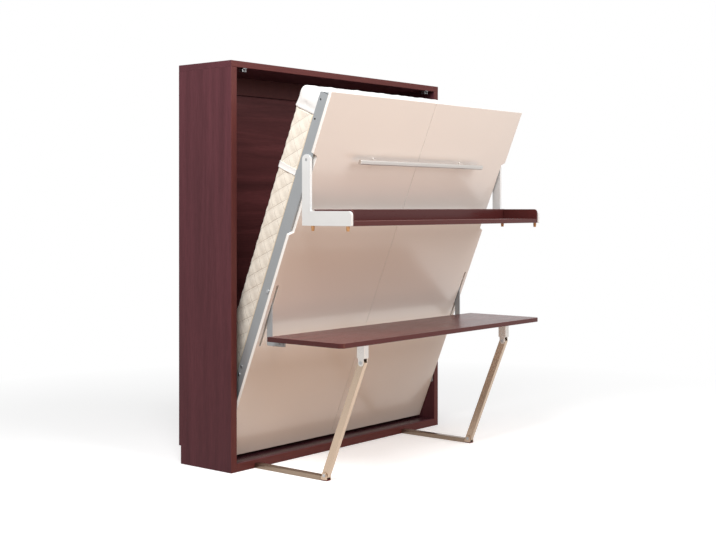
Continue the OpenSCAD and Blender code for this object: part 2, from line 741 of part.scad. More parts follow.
// Strap over the mattress, from the left rail to the right rail
module strap_outline(grow) polygon([for (p = ring(grow, 0, 1, 0)) [p[0], p[1]]]);
module mattress_strap() color(cloth_white) in_bed()
    translate([0, 0, strap_mid - strap_w / 2]) linear_extrude(height = strap_w) intersection() {
        difference() {
            strap_outline(cloth_gap + strap_t);
            strap_outline(cloth_gap);
        }
        translate([-half_w, mattress_y + mattress_round]) square([cabinet_w, 2 * mattress_back]);
    }
// Hooks on the rails that hold the strap's ends
hook_t = 3;
hook_h = 40;
hook_seat = 16;
hook_half = strap_w / 2 + hook_t;
hook_in = mattress_w / 2 + side_swell + 2 * cloth_gap + strap_t;
module strap_anchors() color(bright_steel) in_bed() both_sides() translate([0, 0, strap_mid]) {
    box([hook_in, rail_back, -hook_half], [flange_in + hook_seat, rail_back + hook_t, hook_half]);
    box([hook_in, rail_back + hook_t, -hook_half], [hook_in + hook_t, rail_back + hook_h, hook_half]);
    translate([flange_in + hook_seat / 2, rail_back + hook_t, 0]) rotate([-90, 0, 0])
        cylinder(r = hook_seat / 3, h = hook_t);
}

handle_y = panel_front + handle_clear + handle_t / 2;
handle_z = panel_up - handle_drop;
post_foot = 4.5;
module handle_bar() color(bright_steel) in_bed() translate([0, -handle_y, handle_z])
    along_x(-handle_len / 2, handle_len / 2)
        bar([0, -(handle_w - handle_t) / 2], [0, (handle_w - handle_t) / 2],
            handle_t / 2, handle_t / 2, handle_t / 2);
module handle_posts() color(bright_steel) in_bed() for (x = [-1, 1] * post_gap / 2)
    translate([x, -panel_front, handle_z]) rotate([90, 0, 0]) {
        cylinder(r = post_r, h = handle_clear);
        cylinder(r = post_r + post_foot, h = post_foot);
    }

// Bolts fixed in the rails: the desk arms turn on them
washer_t = 2;
washer_r = desk_bolt_r + 4.5;
desk_head_h = 5;
module desk_pivot_bolts() color(bright_steel) in_bed() both_sides() {
    rod_x(desk_bolt_r, desk_arm_in + shoulder_gap, web_out, desk_on_bed);
    rod_x(washer_r, web_out, web_out + washer_t, desk_on_bed);
    bolt_head(washer_r * 1.5, desk_head_h, web_out + washer_t, desk_on_bed);
}
// Bolt heads on the rails above and below the main pivot
rail_bolt_at = [[rail_back - 20, 196], [rail_back - 20, 150], [-10, -60]];
rail_bolt_across = 13;
rail_bolt_h = 4;
module rail_bolts() color(bright_steel) in_bed() both_sides()
    for (p = rail_bolt_at) bolt_head(rail_bolt_across, rail_bolt_h, web_out, p);
// Studs on the rails for the struts' rods, with a shoulder up to the eye
stud_rim = 3;
module strut_studs() color(bright_steel) in_bed() both_sides() {
    rod_x(stud_r, web_in, strut_x + eye_t / 2 + 2 * eye_gap, strut_low);
    rod_x(stud_r + stud_rim, web_out, strut_x - eye_t / 2 - eye_gap, strut_low);
}

// ---- Desk ----
module desk_top() color(wood_red) in_desk() translate([0, 0, desk_bottom])
    linear_extrude(height = desk_t) difference() {
        translate([-desk_w / 2, desk_front]) square([desk_w, desk_rear - desk_front]);
        cut_corner([-desk_w / 2, desk_front], 0, desk_corner);
        cut_corner([desk_w / 2, desk_front], 90, desk_corner);
        cut_corner([-desk_w / 2, desk_rear], 270, board_ease);
        cut_corner([desk_w / 2, desk_rear], 180, board_ease);
    }

// Upright plate with a foot under the desk and a crank at its head
arm_fillet = 14;
arm_corner = 8;
module desk_arm(side) color(steel_grey) in_desk() on_side(side) difference() {
    along_x(desk_arm_in, desk_arm_out) difference() {
        union() {
            circle(arm_w / 2);
            bar([0, 0], crank, crank_hub_r, crank_end_r, crank_half);
            translate([-arm_w / 2, arm_drop]) square([arm_w, -arm_drop]);
            translate([-arm_foot_len, arm_drop]) square([arm_foot_len, arm_foot_h]);
            corner([-arm_w / 2, desk_bottom], 90, arm_fillet);
        }
        cut_corner([-arm_foot_len, arm_drop], 0, arm_corner);
        cut_corner([arm_w / 2, arm_drop], 90, arm_corner);
    }
    rod_x(desk_bolt_r + pin_clear, desk_arm_in - cut, desk_arm_out + cut);
    rod_x(crank_pin_r, desk_arm_in - cut, desk_arm_out + cut, crank);
}
// Angles under the desk, bolted to the desk arms' feet
angle_w = 40;
angle_t = 4;
angle_len = 300;
angle_bolt_at = [14, 40];
angle_bolt_across = 12;
module desk_angles() color(steel_grey) in_desk() both_sides() {
    front = desk_rear - angle_len;
    box([desk_arm_in - angle_w, front, desk_bottom - angle_t], [desk_arm_in, desk_rear, desk_bottom]);
    box([desk_arm_in - angle_t, -arm_foot_len, desk_bottom - arm_foot_h],
        [desk_arm_in, desk_rear, desk_bottom - angle_t]);
    for (y = angle_bolt_at)
        bolt_head(angle_bolt_across, rail_bolt_h, desk_arm_out,
                  [y - arm_foot_len, arm_drop + arm_foot_h / 2]);
}
module leg_pivot(x) translate([x, leg_top[0] - desk_pivot[0], leg_top[1] - desk_pivot[1]]) children();

// Socket under the desk, with a fork round the leg's upper end
socket_t = 4;
socket_in = leg_t / 2 + leg_side_gap;
socket_low = leg_end_r + fork_clear;
socket_ear_r = leg_end_r - 2;
module leg_socket(side) color(bright_steel) in_desk() leg_pivot(leg_x[side > 0 ? 1 : 0]) {
    difference() {
        box([-socket_in - socket_t, -socket_d / 2, socket_low],
            [socket_in + socket_t, socket_d / 2, socket_low + socket_h]);
        box([-socket_in, -socket_d / 2 + socket_t, socket_low - cut],
            [socket_in, socket_d / 2 - socket_t, socket_low + socket_h - socket_t]);
    }
    both_sides() difference() {
        along_x(socket_in, socket_in + socket_t) {
            circle(socket_ear_r);
            translate([-socket_ear_r, 0]) square([2 * socket_ear_r, socket_low]);
        }
        rod_x(leg_pin_r, socket_in - cut, socket_in + socket_t + cut);
    }
}
module leg_pins() color(bright_steel) in_desk() for (x = leg_x) leg_pivot(x)
    leg_pin(socket_in + socket_t, [0, 0]);
// Flat tube under the desk between the two angles
stretcher = [40, 18];
module desk_stretcher() color(steel_grey) in_desk()
    along_x(angle_w - desk_arm_in, desk_arm_in - angle_w)
        translate([desk_rear - angle_len / 2, desk_bottom - stretcher[1]])
            hollow([0, 0], stretcher, tube_wall);
// Pin fixed in a crank, with a head beyond the link
link_side_gap = 0.5;
crank_head_t = 2;
crank_head_r = crank_pin_r + 2.5;
module crank_pin() {
    rod_x(crank_pin_r, link_in - link_side_gap, desk_arm_out, crank);
    rod_x(crank_head_r, link_in - link_side_gap - crank_head_t, link_in - link_side_gap, crank);
}
module desk_crank_pins() color(bright_steel) in_desk() both_sides() crank_pin();

// ---- Shelf ----
shelf_fillet = 8;
module shelf_arm(side) color(arm_white) in_shelf() on_side(side) difference() {
    along_x(shelf_arm_in, shelf_arm_out) difference() {
        union() {
            circle(shelf_arm_w / 2);
            translate([-shelf_arm_w / 2, shelf_bottom]) square([shelf_arm_w, -shelf_bottom]);
            translate([-shelf_reach, shelf_bottom]) square([shelf_reach, shelf_arm_h]);
            corner([-shelf_arm_w / 2, shelf_bottom + shelf_arm_h], 90, shelf_fillet);
        }
        cut_corner([-shelf_reach, shelf_bottom + shelf_arm_h], 270, shelf_nose_r);
        cut_corner([-shelf_reach, shelf_bottom], 0, shelf_fillet / 2);
        cut_corner([shelf_arm_w / 2, shelf_bottom], 90, shelf_fillet / 2);
    }
    rod_x(shaft_r, shelf_arm_in - cut, shelf_arm_out + cut);
}
board_set = 2;
module shelf_board() color(wood_red) in_shelf() translate([0, 0, shelf_bottom])
    linear_extrude(height = shelf_board_t)
        round_rect([-shelf_arm_in + shelf_end_gap, -shelf_reach + board_set],
                   [shelf_arm_in - shelf_end_gap, board_rear], board_ease);
module shelf_upstand() color(wood_red) in_shelf()
    along_x(-shelf_arm_in + shelf_end_gap, shelf_arm_in - shelf_end_gap)
        round_rect([board_rear - upstand_t, shelf_bottom + shelf_board_t],
                   [board_rear, shelf_bottom + shelf_board_t + upstand_h], board_ease);
foot_y = [-40, -shelf_reach + 3 * foot_r];
foot_taper = 1.5;
module shelf_feet() color(foot_tan) in_shelf() both_sides() for (y = foot_y)
    translate([(shelf_arm_in + shelf_arm_out) / 2, y, shelf_bottom - foot_h]) {
        cylinder(r1 = foot_r - foot_taper, r2 = foot_r, h = foot_h / 2);
        translate([0, 0, foot_h / 2]) cylinder(r = foot_r, h = foot_h / 2);
    }
// Shaft fixed in the shelf arm, with the crank on its inner end
module shelf_shafts() color(bright_steel) in_shelf() both_sides() {
    rod_x(shaft_r, desk_arm_out, shelf_arm_out);
    difference() {
        along_x(desk_arm_in, desk_arm_out) bar([0, 0], crank, crank_hub_r, crank_end_r, crank_half);
        rod_x(crank_pin_r, desk_arm_in - cut, desk_arm_out + cut, crank);
    }
}
module shelf_crank_pins() color(bright_steel) in_shelf() both_sides() crank_pin();

// ---- Legs ----
module leg(side) color(leg_champagne) in_leg(leg_x[side > 0 ? 1 : 0]) difference() {
    along_x(-leg_t / 2, leg_t / 2) bar([0, 0], [0, leg_len], leg_end_r, leg_end_r, leg_end_r);
    box([-leg_t / 2 + tube_wall, -leg_end_r + tube_wall, -leg_end_r - cut],
        [leg_t / 2 - tube_wall, leg_end_r - tube_wall, leg_len + leg_end_r + cut]);
    rod_x(leg_pin_r + pin_clear, -leg_t, leg_t);
    rod_x(leg_pin_r + open_clear, -leg_t, leg_t, [0, leg_len]);
}

// ---- Links ----
link_vec = shelf_on_bed - desk_on_bed;
module link(side) color(steel_grey) in_desk() on_side(side)
    translate([0, crank[0], crank[1]]) rotate([bed_tilt, 0, 0]) difference() {
        along_x(link_in, link_out) bar([0, 0], link_vec, crank_end_r, crank_end_r, link_half);
        rod_x(crank_pin_r + pin_clear, link_in - cut, link_out + cut);
        rod_x(crank_pin_r + open_clear, link_in - cut, link_out + cut, link_vec);
    }

// ---- Gas struts ----
// Depth of the tube's solid end and of its mouth, and the piston's size
tube_start = 6;
tube_solid = 16;
tube_skin = 1.7;
piston_h = 10;
piston_gap = 0.5;
module strut_tube(side) color(black_plastic) on_side(side) in_strut() difference() {
    union() {
        along_x(strut_x - eye_t / 2, strut_x + eye_t / 2) circle(eye_r);
        translate([strut_x, 0, tube_start]) cylinder(r = strut_r, h = strut_tube_len - tube_start);
    }
    rod_x(stud_r + pin_clear, strut_x - eye_t, strut_x + eye_t);
    translate([strut_x, 0, tube_solid])
        cylinder(r = strut_r - tube_skin, h = strut_tube_len - tube_solid - tube_start);
    translate([strut_x, 0, tube_solid]) cylinder(r = rod_r + open_clear, h = strut_tube_len);
}
module strut_rod(side) color(bright_steel) on_side(side) in_strut() translate([0, 0, strut_len_now])
    difference() {
        union() {
            along_x(strut_x - eye_t / 2, strut_x + eye_t / 2) circle(eye_r);
            translate([strut_x, 0, -rod_len]) cylinder(r = rod_r, h = rod_len);
            translate([strut_x, 0, -rod_len])
                cylinder(r = strut_r - tube_skin - piston_gap, h = piston_h);
        }
        rod_x(stud_r + pin_clear, strut_x - eye_t, strut_x + eye_t);
    }

side_panel(-1);  // side_panel_left
side_panel(1);  // side_panel_right
top_panel();
base_board();
front_rail();
rear_rails();
back_panel();
pivot_plate(-1);  // pivot_plate_left
pivot_plate(1);  // pivot_plate_right
main_pins();
catches();
stop_brackets();
stop_pads();
floor_tube(-1);  // floor_tube_left
floor_tube(1);  // floor_tube_right
foot_forks();
foot_pins();
foot_glides();
face_panel(-1);  // face_panel_left
face_panel(1);  // face_panel_right
side_rail(-1);  // side_rail_left
side_rail(1);  // side_rail_right
end_rails();
cross_tubes();
centre_beam();
slats();
slat_holders();
mattress();
mattress_cover();
mattress_strap();
strap_anchors();
handle_bar();
handle_posts();
desk_pivot_bolts();
rail_bolts();
strut_studs();
desk_top();
desk_arm(-1);  // desk_arm_left
desk_arm(1);  // desk_arm_right
desk_angles();
leg_socket(-1);  // leg_socket_left
leg_socket(1);  // leg_socket_right
leg_pins();
desk_stretcher();
desk_crank_pins();
shelf_board();
shelf_upstand();
shelf_arm(-1);  // shelf_arm_left
shelf_arm(1);  // shelf_arm_right
shelf_feet();
shelf_shafts();
shelf_crank_pins();
leg(-1);  // leg_left
leg(1);  // leg_right
link(-1);  // link_left
link(1);  // link_right
strut_tube(-1);  // strut_tube_left
strut_tube(1);  // strut_tube_right
strut_rod(-1);  // strut_rod_left
strut_rod(1);  // strut_rod_right
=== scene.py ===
"""The finish of a wall bed with a desk and a shelf: boards, lacquer, steel, bedding, fasteners, stage."""

import json
import math

import bmesh
import bpy
import numpy as np
from bpy.props import FloatProperty, FloatVectorProperty, PointerProperty
from mathutils import Matrix, Vector
from mathutils.bvhtree import BVHTree


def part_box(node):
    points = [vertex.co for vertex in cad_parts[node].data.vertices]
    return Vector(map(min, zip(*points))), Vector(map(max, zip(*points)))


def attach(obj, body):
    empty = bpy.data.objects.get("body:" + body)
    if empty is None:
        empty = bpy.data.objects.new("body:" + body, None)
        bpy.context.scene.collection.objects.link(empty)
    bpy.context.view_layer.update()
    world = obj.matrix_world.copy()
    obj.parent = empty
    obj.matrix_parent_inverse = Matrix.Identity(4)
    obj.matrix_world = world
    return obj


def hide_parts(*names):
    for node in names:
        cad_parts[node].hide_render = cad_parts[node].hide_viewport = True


bl_info = {
    "name": "Wall Bed Finish",
    "version": (1, 0, 0),
    "blender": (4, 5, 0),
    "location": "3D View > Sidebar > Wall Bed",
    "description": "Boards, lacquer, steel, bedding and fasteners of a wall bed with a desk and a shelf",
    "category": "Object",
}

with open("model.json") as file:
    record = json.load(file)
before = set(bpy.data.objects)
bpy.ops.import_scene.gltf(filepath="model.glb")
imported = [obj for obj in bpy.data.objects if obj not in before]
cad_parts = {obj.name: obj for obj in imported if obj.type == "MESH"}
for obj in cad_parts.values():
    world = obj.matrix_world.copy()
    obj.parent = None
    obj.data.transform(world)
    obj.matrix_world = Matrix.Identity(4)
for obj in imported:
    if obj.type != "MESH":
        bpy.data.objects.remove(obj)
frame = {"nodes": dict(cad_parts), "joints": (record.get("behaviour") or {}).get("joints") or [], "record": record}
NODES = frame["nodes"]
BODIES = frame["record"]["behaviour"]["bodies"]
SLOTS = {part["node"]: part["material_slot"] for part in frame["record"]["subparts"]}
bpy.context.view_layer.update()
PIVOTS = {j["name"]: Vector(j["pos_m"]) for j in frame["joints"]}

# The bed's angle from upright as it is stored, and the bed's own frame at its pivot
TILT = math.radians(22)
BED = Matrix.Translation(PIVOTS["bed_fold"]) @ Matrix.Rotation(TILT, 4, "X")
TO_BED = np.array(BED.inverted())
# The two sides and their signs along X
SIDES = (("left", -1), ("right", 1))
# The foot of the cabinet's left side panel, which the camera's place is measured from
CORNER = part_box("side_panel_left")[0]
SENSOR_MM = 36.0

# In copies of the nodes, points closer than this are one, faces flatter than this are one face, and
# edges sharper than this are eased
MERGE, FLAT, SHARP = 1e-5, math.radians(0.6), math.radians(35)
# How far a material's pattern is squeezed where it runs along an axis
ALONG_X, ALONG_Y, ALONG_Z = (0.05, 1, 1), (1, 0.05, 1), (1, 1, 0.05)
# Eased edges of the boards, the lacquered panels, the steel, the arms, the tubes and the small parts
CABINET_EASE, PANEL_EASE, STEEL_EASE = 0.0010, 0.0015, 0.0006
ARM_EASE, TUBE_EASE, SMALL_EASE = 0.0015, 0.0012, 0.0004
# The mattress: its swell, its crown and the round of its edges
SWELL, CROWN, EDGE_ROUND = 0.005, 0.008, 0.026
# The piping: its place behind the front face and out from the side, its cord's sides and its bends' steps
PIPING_IN, PIPING_OUT, PIPING_SIDES, BEND_STEPS = 0.042, -0.0035, 10, 6
# Points of the mattress's section: on a rounded edge, a side and a face, and of the first measure round it
ARC_POINTS, SIDE_POINTS, FACE_POINTS, ROUGH_POINTS = 24, 60, 400, 720
# The quilt: its steps between two seams and on a rounded end, its stitches' pitch, and where its puff
# starts and is full, away from the piping and from the mattress's lower end
QUILT_STEPS, END_STEPS, DASH_PITCH = 10, 5, 0.006
PINCH_SIDE, PINCH_END = (0.003, 0.016), (0.004, 0.030)
# The end cover: the round of its end and its share in depth, its puff, its hem and how far in its cloth lies
COVER_ROUND, COVER_SHARE, COVER_PUFF, HEM, COVER_IN = 0.040, 0.55, 0.008, 0.014, 0.0025
# Its points round, the steps of its round, its voxels and the frames of its cloth simulation
COVER_POINTS, COVER_STEPS, COVER_VOXEL, PUFF_FRAMES = 360, 8, 0.0075, 20
# The cover's folds, in radians for a metre across, and its cloth's least distance from the front's plane
FOLD_TURNS, COVER_CLEAR = (31.0, 53.0, 87.0), 0.0002
# The hem's stitches: points round the cover, and how far off the cloth is looked for
HEM_POINTS, SKIN_REACH = 420, 0.03
# The strap: its gap to the mattress, its thickness and its stitched box, from its end
STRAP_GAP, STRAP_T, STITCH_BOX = 0.0006, 0.0025, (0.012, 0.052)
# Points of the section that the strap's path is cut from, and how many of them make a step
STRAP_POINTS, STRAP_STEP = 1600, 6
# The strap's woven edge, in shares of its width and its thickness, from its middle outward
SELVEDGE = [(0.36, 0.15), (0.40, 0.0), (0.47, 0.0), (0.5, 0.3)]
# The shelf's end boards: their thickness, their nose and their drop below the upstand
END_T, END_NOSE, END_DROP = 0.012, 0.020, 0.001
# The back panel's nails: how far in from its edges, their steps and their heads' radius
NAIL_IN, NAIL_STEP, NAIL_R = 0.010, 0.12, 0.0035
# The desk's screws, from the ends of its angles, and the angles' width and thickness
SCREW_IN, SCREW_STEP, SCREW_R, ANGLE_W, ANGLE_T = 0.020, 0.085, 0.0045, 0.040, 0.004
# Colours of the small parts
STRUT_BLACK, HOLDER_BLACK, STOP_BLACK = (0.012, 0.012, 0.014), (0.02, 0.02, 0.022), (0.015, 0.015, 0.015)
BIRCH, CHROME = (0.62, 0.42, 0.22), (0.80, 0.80, 0.81)
FOOT_BROWN, GLIDE_RED = (0.46, 0.25, 0.11), (0.10, 0.012, 0.012)
# Each lamp's place, the point it is aimed at, its size and its tint
LAMPS = {
    "key": ((0.6, -4.5, 4.0), (0, 0, 1.1), 4.6, (1, 1, 1)),
    "warm": ((-0.45, -2.7, 0.5), (-0.5, 0.1, 0.6), 1.0, (1.0, 0.60, 0.34)),
    "side": ((-3.3, -1.2, 4.1), (0, 0, 1.1), 2.0, (1, 1, 1)),
}


# ---- Sizes and colours ----
def colour(name, text, value):
    return FloatVectorProperty(
        name=name, description=text, subtype="COLOR", size=3, min=0, max=1, default=value,
    )


def length(name, text, value, low=0.0, high=5.0):
    return FloatProperty(
        name=name, description=text, unit="LENGTH", default=value, min=low, max=high, precision=4,
    )


def amount(name, text, value, low=0.0, high=1.0):
    return FloatProperty(name=name, description=text, default=value, min=low, max=high)


def angle(name, text, degrees):
    return FloatProperty(name=name, description=text, subtype="ANGLE", default=math.radians(degrees))


def power(name, text, watts):
    return FloatProperty(name=name, description=text, unit="POWER", default=watts)


class BoardFinish(bpy.types.PropertyGroup):
    cabinet: colour("Cabinet wood", "Middle colour of the cabinet's wood finish", (0.106, 0.033, 0.042))
    back: colour("Back panel", "Middle colour of the cabinet's back panel", (0.140, 0.040, 0.042))
    # The cabinet's edge colour, redder and lighter than its wood, is painted light on the faces that look forward
    edge: colour("Cabinet edge", "Colour of the boards' front edges", (0.118, 0.032, 0.028))
    board: colour("Desk wood", "Middle colour of the desk's and the shelf's wood", (0.124, 0.032, 0.030))
    # The desk's and the shelf's edge colour, darker than their wood, is painted shade on their upright sides
    band: colour("Desk edge", "Colour of the desk's and the shelf's edges", (0.074, 0.016, 0.015))
    lacquer: colour("Lacquer", "Colour of the face panels' lacquer", (0.745, 0.690, 0.645))
    # The face panels' edge colour, lighter than the lacquer, is a painted highlight on their edges
    edge_highlight: colour("Panel edge", "Colour of the face panels' edges", (0.860, 0.840, 0.810))
    ease: length("Eased edge", "Radius of the desk's and the shelf's edges", 0.0025, 0.0005, 0.006)


class MetalFinish(bpy.types.PropertyGroup):
    frame: colour("Frame coat", "Powder coat of the bed's frame", (0.330, 0.350, 0.365))
    arm: colour("Arm paint", "Paint of the shelf's arms", (0.680, 0.700, 0.705))
    leg: colour("Leg metal", "Metal of the legs and the floor tubes", (0.475, 0.366, 0.277))
    bright: colour("Bright metal", "Metal of the handle and the leg sockets", (0.640, 0.600, 0.565))
    fitting: colour("Fittings", "Zinc of the pins, plates and bolts", (0.430, 0.435, 0.440))


class BeddingFinish(bpy.types.PropertyGroup):
    ticking: colour("Ticking", "Colour of the mattress's cloth", (0.880, 0.820, 0.720))
    cotton: colour("Cotton", "Colour of the end cover", (0.820, 0.812, 0.800))
    webbing: colour("Webbing", "Colour of the strap", (0.930, 0.925, 0.910))
    quilt: length("Quilt pitch", "Distance between the quilt's seams", 0.068, 0.04, 0.12)
    puff: length("Quilt puff", "Height of the quilt between its seams", 0.0055, 0.001, 0.01)
    cord: colour("Piping", "Colour of the piping's cloth", (0.800, 0.690, 0.540))
    piping: length("Piping radius", "Radius of the piping round the mattress's edges", 0.0045, 0.002, 0.008)
    stitch: length("Stitch pitch", "Distance between stitches", 0.0085, 0.004, 0.02)


class StageSettings(bpy.types.PropertyGroup):
    focal: FloatProperty(name="Lens", description="Focal length", unit="CAMERA", default=61.10)
    shift: amount("Lens shift", "Share of the picture's width that the lens is shifted", -0.0842, -0.5, 0.5)
    yaw: angle("Turn", "Camera's turn to the right", 50.55)
    pitch: angle("Tip", "Camera's tip down", 0.132)
    eye: FloatVectorProperty(
        name="Eye", description="Camera's place from the cabinet's corner",
        subtype="TRANSLATION", unit="LENGTH", default=(-4.5594, -4.6243, 1.4184),
    )
    floor: length("Floor", "Half the floor's width", 30.0, 5.0, 60.0)
    bounce: colour("Floor's light", "Colour of the light that the floor throws back", (0.40, 0.26, 0.17))
    shade: FloatVectorProperty(
        name="Shade", description="Where the floor's shade starts to fade and where it ends",
        size=2, unit="LENGTH", default=(1.6, 4.2),
    )
    lift: amount("Lift", "White that the floor shows by itself near the bed", 0.30)
    sky: amount("Sky", "Strength of the light from all round", 0.365, 0, 3)
    key: power("Key", "Power of the large lamp in front", 232.0)
    side: power("Side", "Power of the lamp at the left", 168.0)
    warm: power("Warm", "Power of the low warm lamp in front", 12.0)


SETTINGS = {
    "bed_boards": BoardFinish, "bed_metal": MetalFinish,
    "bed_bedding": BeddingFinish, "bed_stage": StageSettings,
}


# ---- Node trees ----
class Net:
    """Adds and links the nodes of one tree."""

    def __init__(self, tree):
        self.tree = tree

    def add(self, kind, inputs=None, **settings):
        node = self.tree.nodes.new(kind)
        for name, value in settings.items():
            setattr(node, name, value)
        for name, value in (inputs or {}).items():
            self.put(node.inputs[name], value)
        return node

    def put(self, socket, value):
        if isinstance(value, bpy.types.NodeSocket):
            self.tree.links.new(value, socket)
        else:
            socket.default_value = value

    def maths(self, operation, *values):
        return self.add("ShaderNodeMath", dict(enumerate(values)), operation=operation).outputs[0]

    def times(self, a, b):
        return self.maths("MULTIPLY", a, b)

    def stretch(self, vector, shares):
        return self.add("ShaderNodeVectorMath", {0: vector, 1: shares}, operation="MULTIPLY").outputs[0]

    def split(self, vector):
        return self.add("ShaderNodeSeparateXYZ", {0: vector}).outputs

    def normal(self):
        return self.split(self.add("ShaderNodeNewGeometry").outputs["Normal"])

    def noise(self, vector, scale, detail=3.0, roughness=0.5, distortion=0.0):
        values = {"Vector": vector, "Scale": scale, "Detail": detail}
        values.update(Roughness=roughness, Distortion=distortion)
        return self.add("ShaderNodeTexNoise", values).outputs["Fac"]

    def mix(self, factor, a, b):
        node = self.add("ShaderNodeMix", data_type="RGBA")
        for socket, value in zip((node.inputs[0], node.inputs[6], node.inputs[7]), (factor, a, b)):
            self.put(socket, value)
        return node.outputs[2]

    def between(self, value, low, high, to_low=0.0, to_high=1.0):
        values = {0: value, 1: low, 2: high, 3: to_low, 4: to_high}
        return self.add("ShaderNodeMapRange", values).outputs[0]

    def bump(self, height, distance):
        return self.add("ShaderNodeBump", {"Height": height, "Distance": distance}).outputs[0]


def solid(rgb, share=1.0):
    return (*(min(1.0, c * share) for c in rgb), 1.0)


def add_sockets(tree, way, sockets):
    """Named sockets of a group, each with its kind and its default or None."""
    for name, (kind, value) in sockets.items():
        made = tree.interface.new_socket(name, in_out=way, socket_type=kind)
        if value is not None:
            made.default_value = value


FLOAT, VECTOR = "NodeSocketFloat", "NodeSocketVector"


def group(name, outputs, **inputs):
    """Turns a function that builds nodes into one that gives their group, which is made once."""

    def wrap(build):
        def tree():
            if name in bpy.data.node_groups:
                return bpy.data.node_groups[name]
            made = bpy.data.node_groups.new(name, "ShaderNodeTree")
            add_sockets(made, "INPUT", inputs)
            add_sockets(made, "OUTPUT", dict.fromkeys(outputs, (FLOAT, None)))
            net = Net(made)
            results = build(net, made.nodes.new("NodeGroupInput").outputs)
            net.add("NodeGroupOutput", results)
            return made

        return tree

    return wrap


@group("Board grain", ("Figure", "Fibre"),
       Vector=(VECTOR, None), Along=(VECTOR, ALONG_Z), Scale=(FLOAT, 260.0))
def grain_group(net, given):
    """Broad figure and fine fibre of a board; Along squeezes the pattern in the grain's direction."""
    along = net.stretch(given["Vector"], given["Along"])
    return {
        "Figure": net.noise(along, net.times(given["Scale"], 0.035), 4.0, 0.55, 1.6),
        "Fibre": net.noise(along, given["Scale"], 5.0, 0.62, 0.2),
    }


@group("Handling marks", ("Smudge", "Scuff"), Vector=(VECTOR, None), Scale=(FLOAT, 4.0))
def handling_group(net, given):
    """Soft smudges and fine scuffs that break up a smooth finish."""
    smudge = net.noise(given["Vector"], given["Scale"], 2.0, 0.5, 0.4)
    scuff = net.noise(net.stretch(given["Vector"], (1, 6, 1)), 90.0, 6.0, 0.7)
    return {"Smudge": net.between(smudge, 0.2, 0.8), "Scuff": net.between(scuff, 0.60, 0.75)}


@group("Brushed lines", ("Lines", "Cloud"), Vector=(VECTOR, None), Along=(VECTOR, ALONG_Z))
def brush_group(net, given):
    """Fine lines of brushed or drawn metal; Along squeezes them in their own direction."""
    along = net.stretch(given["Vector"], given["Along"])
    return {"Lines": net.noise(along, 3200.0, 2.0), "Cloud": net.noise(given["Vector"], 7.0, 2.0)}


@group("Plain weave", ("Thread", "Slub"), Vector=(VECTOR, None), Thread=(FLOAT, 0.0022))
def weave_group(net, given):
    """Threads of a plain weave in the two directions of a map in metres."""
    split = net.split(given["Vector"])
    turn = net.maths("DIVIDE", 2 * math.pi, given["Thread"])
    over = net.times(*(net.maths("SINE", net.times(split[i], turn)) for i in (0, 1)))
    slub = net.noise(net.stretch(given["Vector"], (40, 400, 1)), 1.0, 3.0, 0.6)
    return {"Thread": net.between(over, -1, 1), "Slub": slub}


@group("Diamond quilt", ("Seam", "Stitch"), Vector=(VECTOR, None), Pitch=(FLOAT, 0.096))
def quilt_group(net, given):
    """Diamond seams on a map in metres: Seam is 1 on a seam, Stitch breaks it into stitches."""
    split = net.split(given["Vector"])
    seams = []
    for sign in ("ADD", "SUBTRACT"):
        turn = net.maths("DIVIDE", net.maths(sign, split[0], split[1]), given["Pitch"])
        seams.append(net.maths("ABSOLUTE", net.maths("SUBTRACT", net.maths("FRACT", turn), 0.5)))
    near = net.maths("MAXIMUM", *seams)
    dash = net.maths("SINE", net.times(split[0], 2 * math.pi / DASH_PITCH))
    stitch = net.times(net.between(near, 0.485, 0.497), net.between(dash, -0.3, 0.3))
    return {"Seam": net.between(near, 0.455, 0.495), "Stitch": stitch}


class Surface(Net):
    """The net of a material, whose shader's inputs are set by their names."""

    def __init__(self, name, **inputs):
        self.made = bpy.data.materials.new(name)
        self.made.use_nodes = True
        super().__init__(self.made.node_tree)
        place = self.add("ShaderNodeTexCoord").outputs
        self.place, self.map = place["Object"], place["UV"]
        self.set(**inputs)

    def set(self, **inputs):
        shader = self.tree.nodes["Principled BSDF"]
        for name, value in inputs.items():
            self.put(shader.inputs[name.replace("_", " ")], value)
        return self.made

    def use(self, tree, **inputs):
        return self.add("ShaderNodeGroup", inputs, node_tree=tree).outputs

    def shades(self, factor, tint, low, high):
        return self.mix(factor, solid(tint, low), solid(tint, high))


def board_material(
    name, middle, along, edge=None, roughness=0.36, coat=0.04, spread=0.20, level=False, sheen=0.10,
):
    """Printed wood. The edge's colour is on faces that look forward, or on a level board's sides; it is painted
    light on the cabinet's front faces and painted shade on the desk's and the shelf's sides.
    """
    net = Surface(name, Coat_Weight=coat, Coat_Roughness=0.16, Specular_IOR_Level=sheen)
    grain = net.use(grain_group(), Vector=net.place, Along=along)
    marks = net.use(handling_group(), Vector=net.place)
    tone = net.shades(net.between(grain["Figure"], 0.3, 0.7), middle, 1 - spread, 1 + spread)
    # The edge colour, chosen by which way a face looks, paints light and shade onto those faces
    if edge:
        normal = net.normal()
        if level:
            facing = net.between(net.maths("ABSOLUTE", normal[2]), 0.85, 0.5)
        else:
            facing = net.between(normal[1], -0.55, -0.85)
        tone = net.mix(facing, tone, net.shades(grain["Figure"], edge, 0.85, 1.15))
    fibre = net.between(grain["Fibre"], 0.36, 0.62)
    tone = net.mix(net.times(fibre, 0.34), tone, solid(middle, 0.45))
    fine = net.between(fibre, 0, 1, roughness, roughness + 0.10)
    rough = net.maths("ADD", fine, net.times(marks["Smudge"], 0.06))
    return net.set(Base_Color=tone, Roughness=rough, Normal=net.bump(fibre, 0.00006))


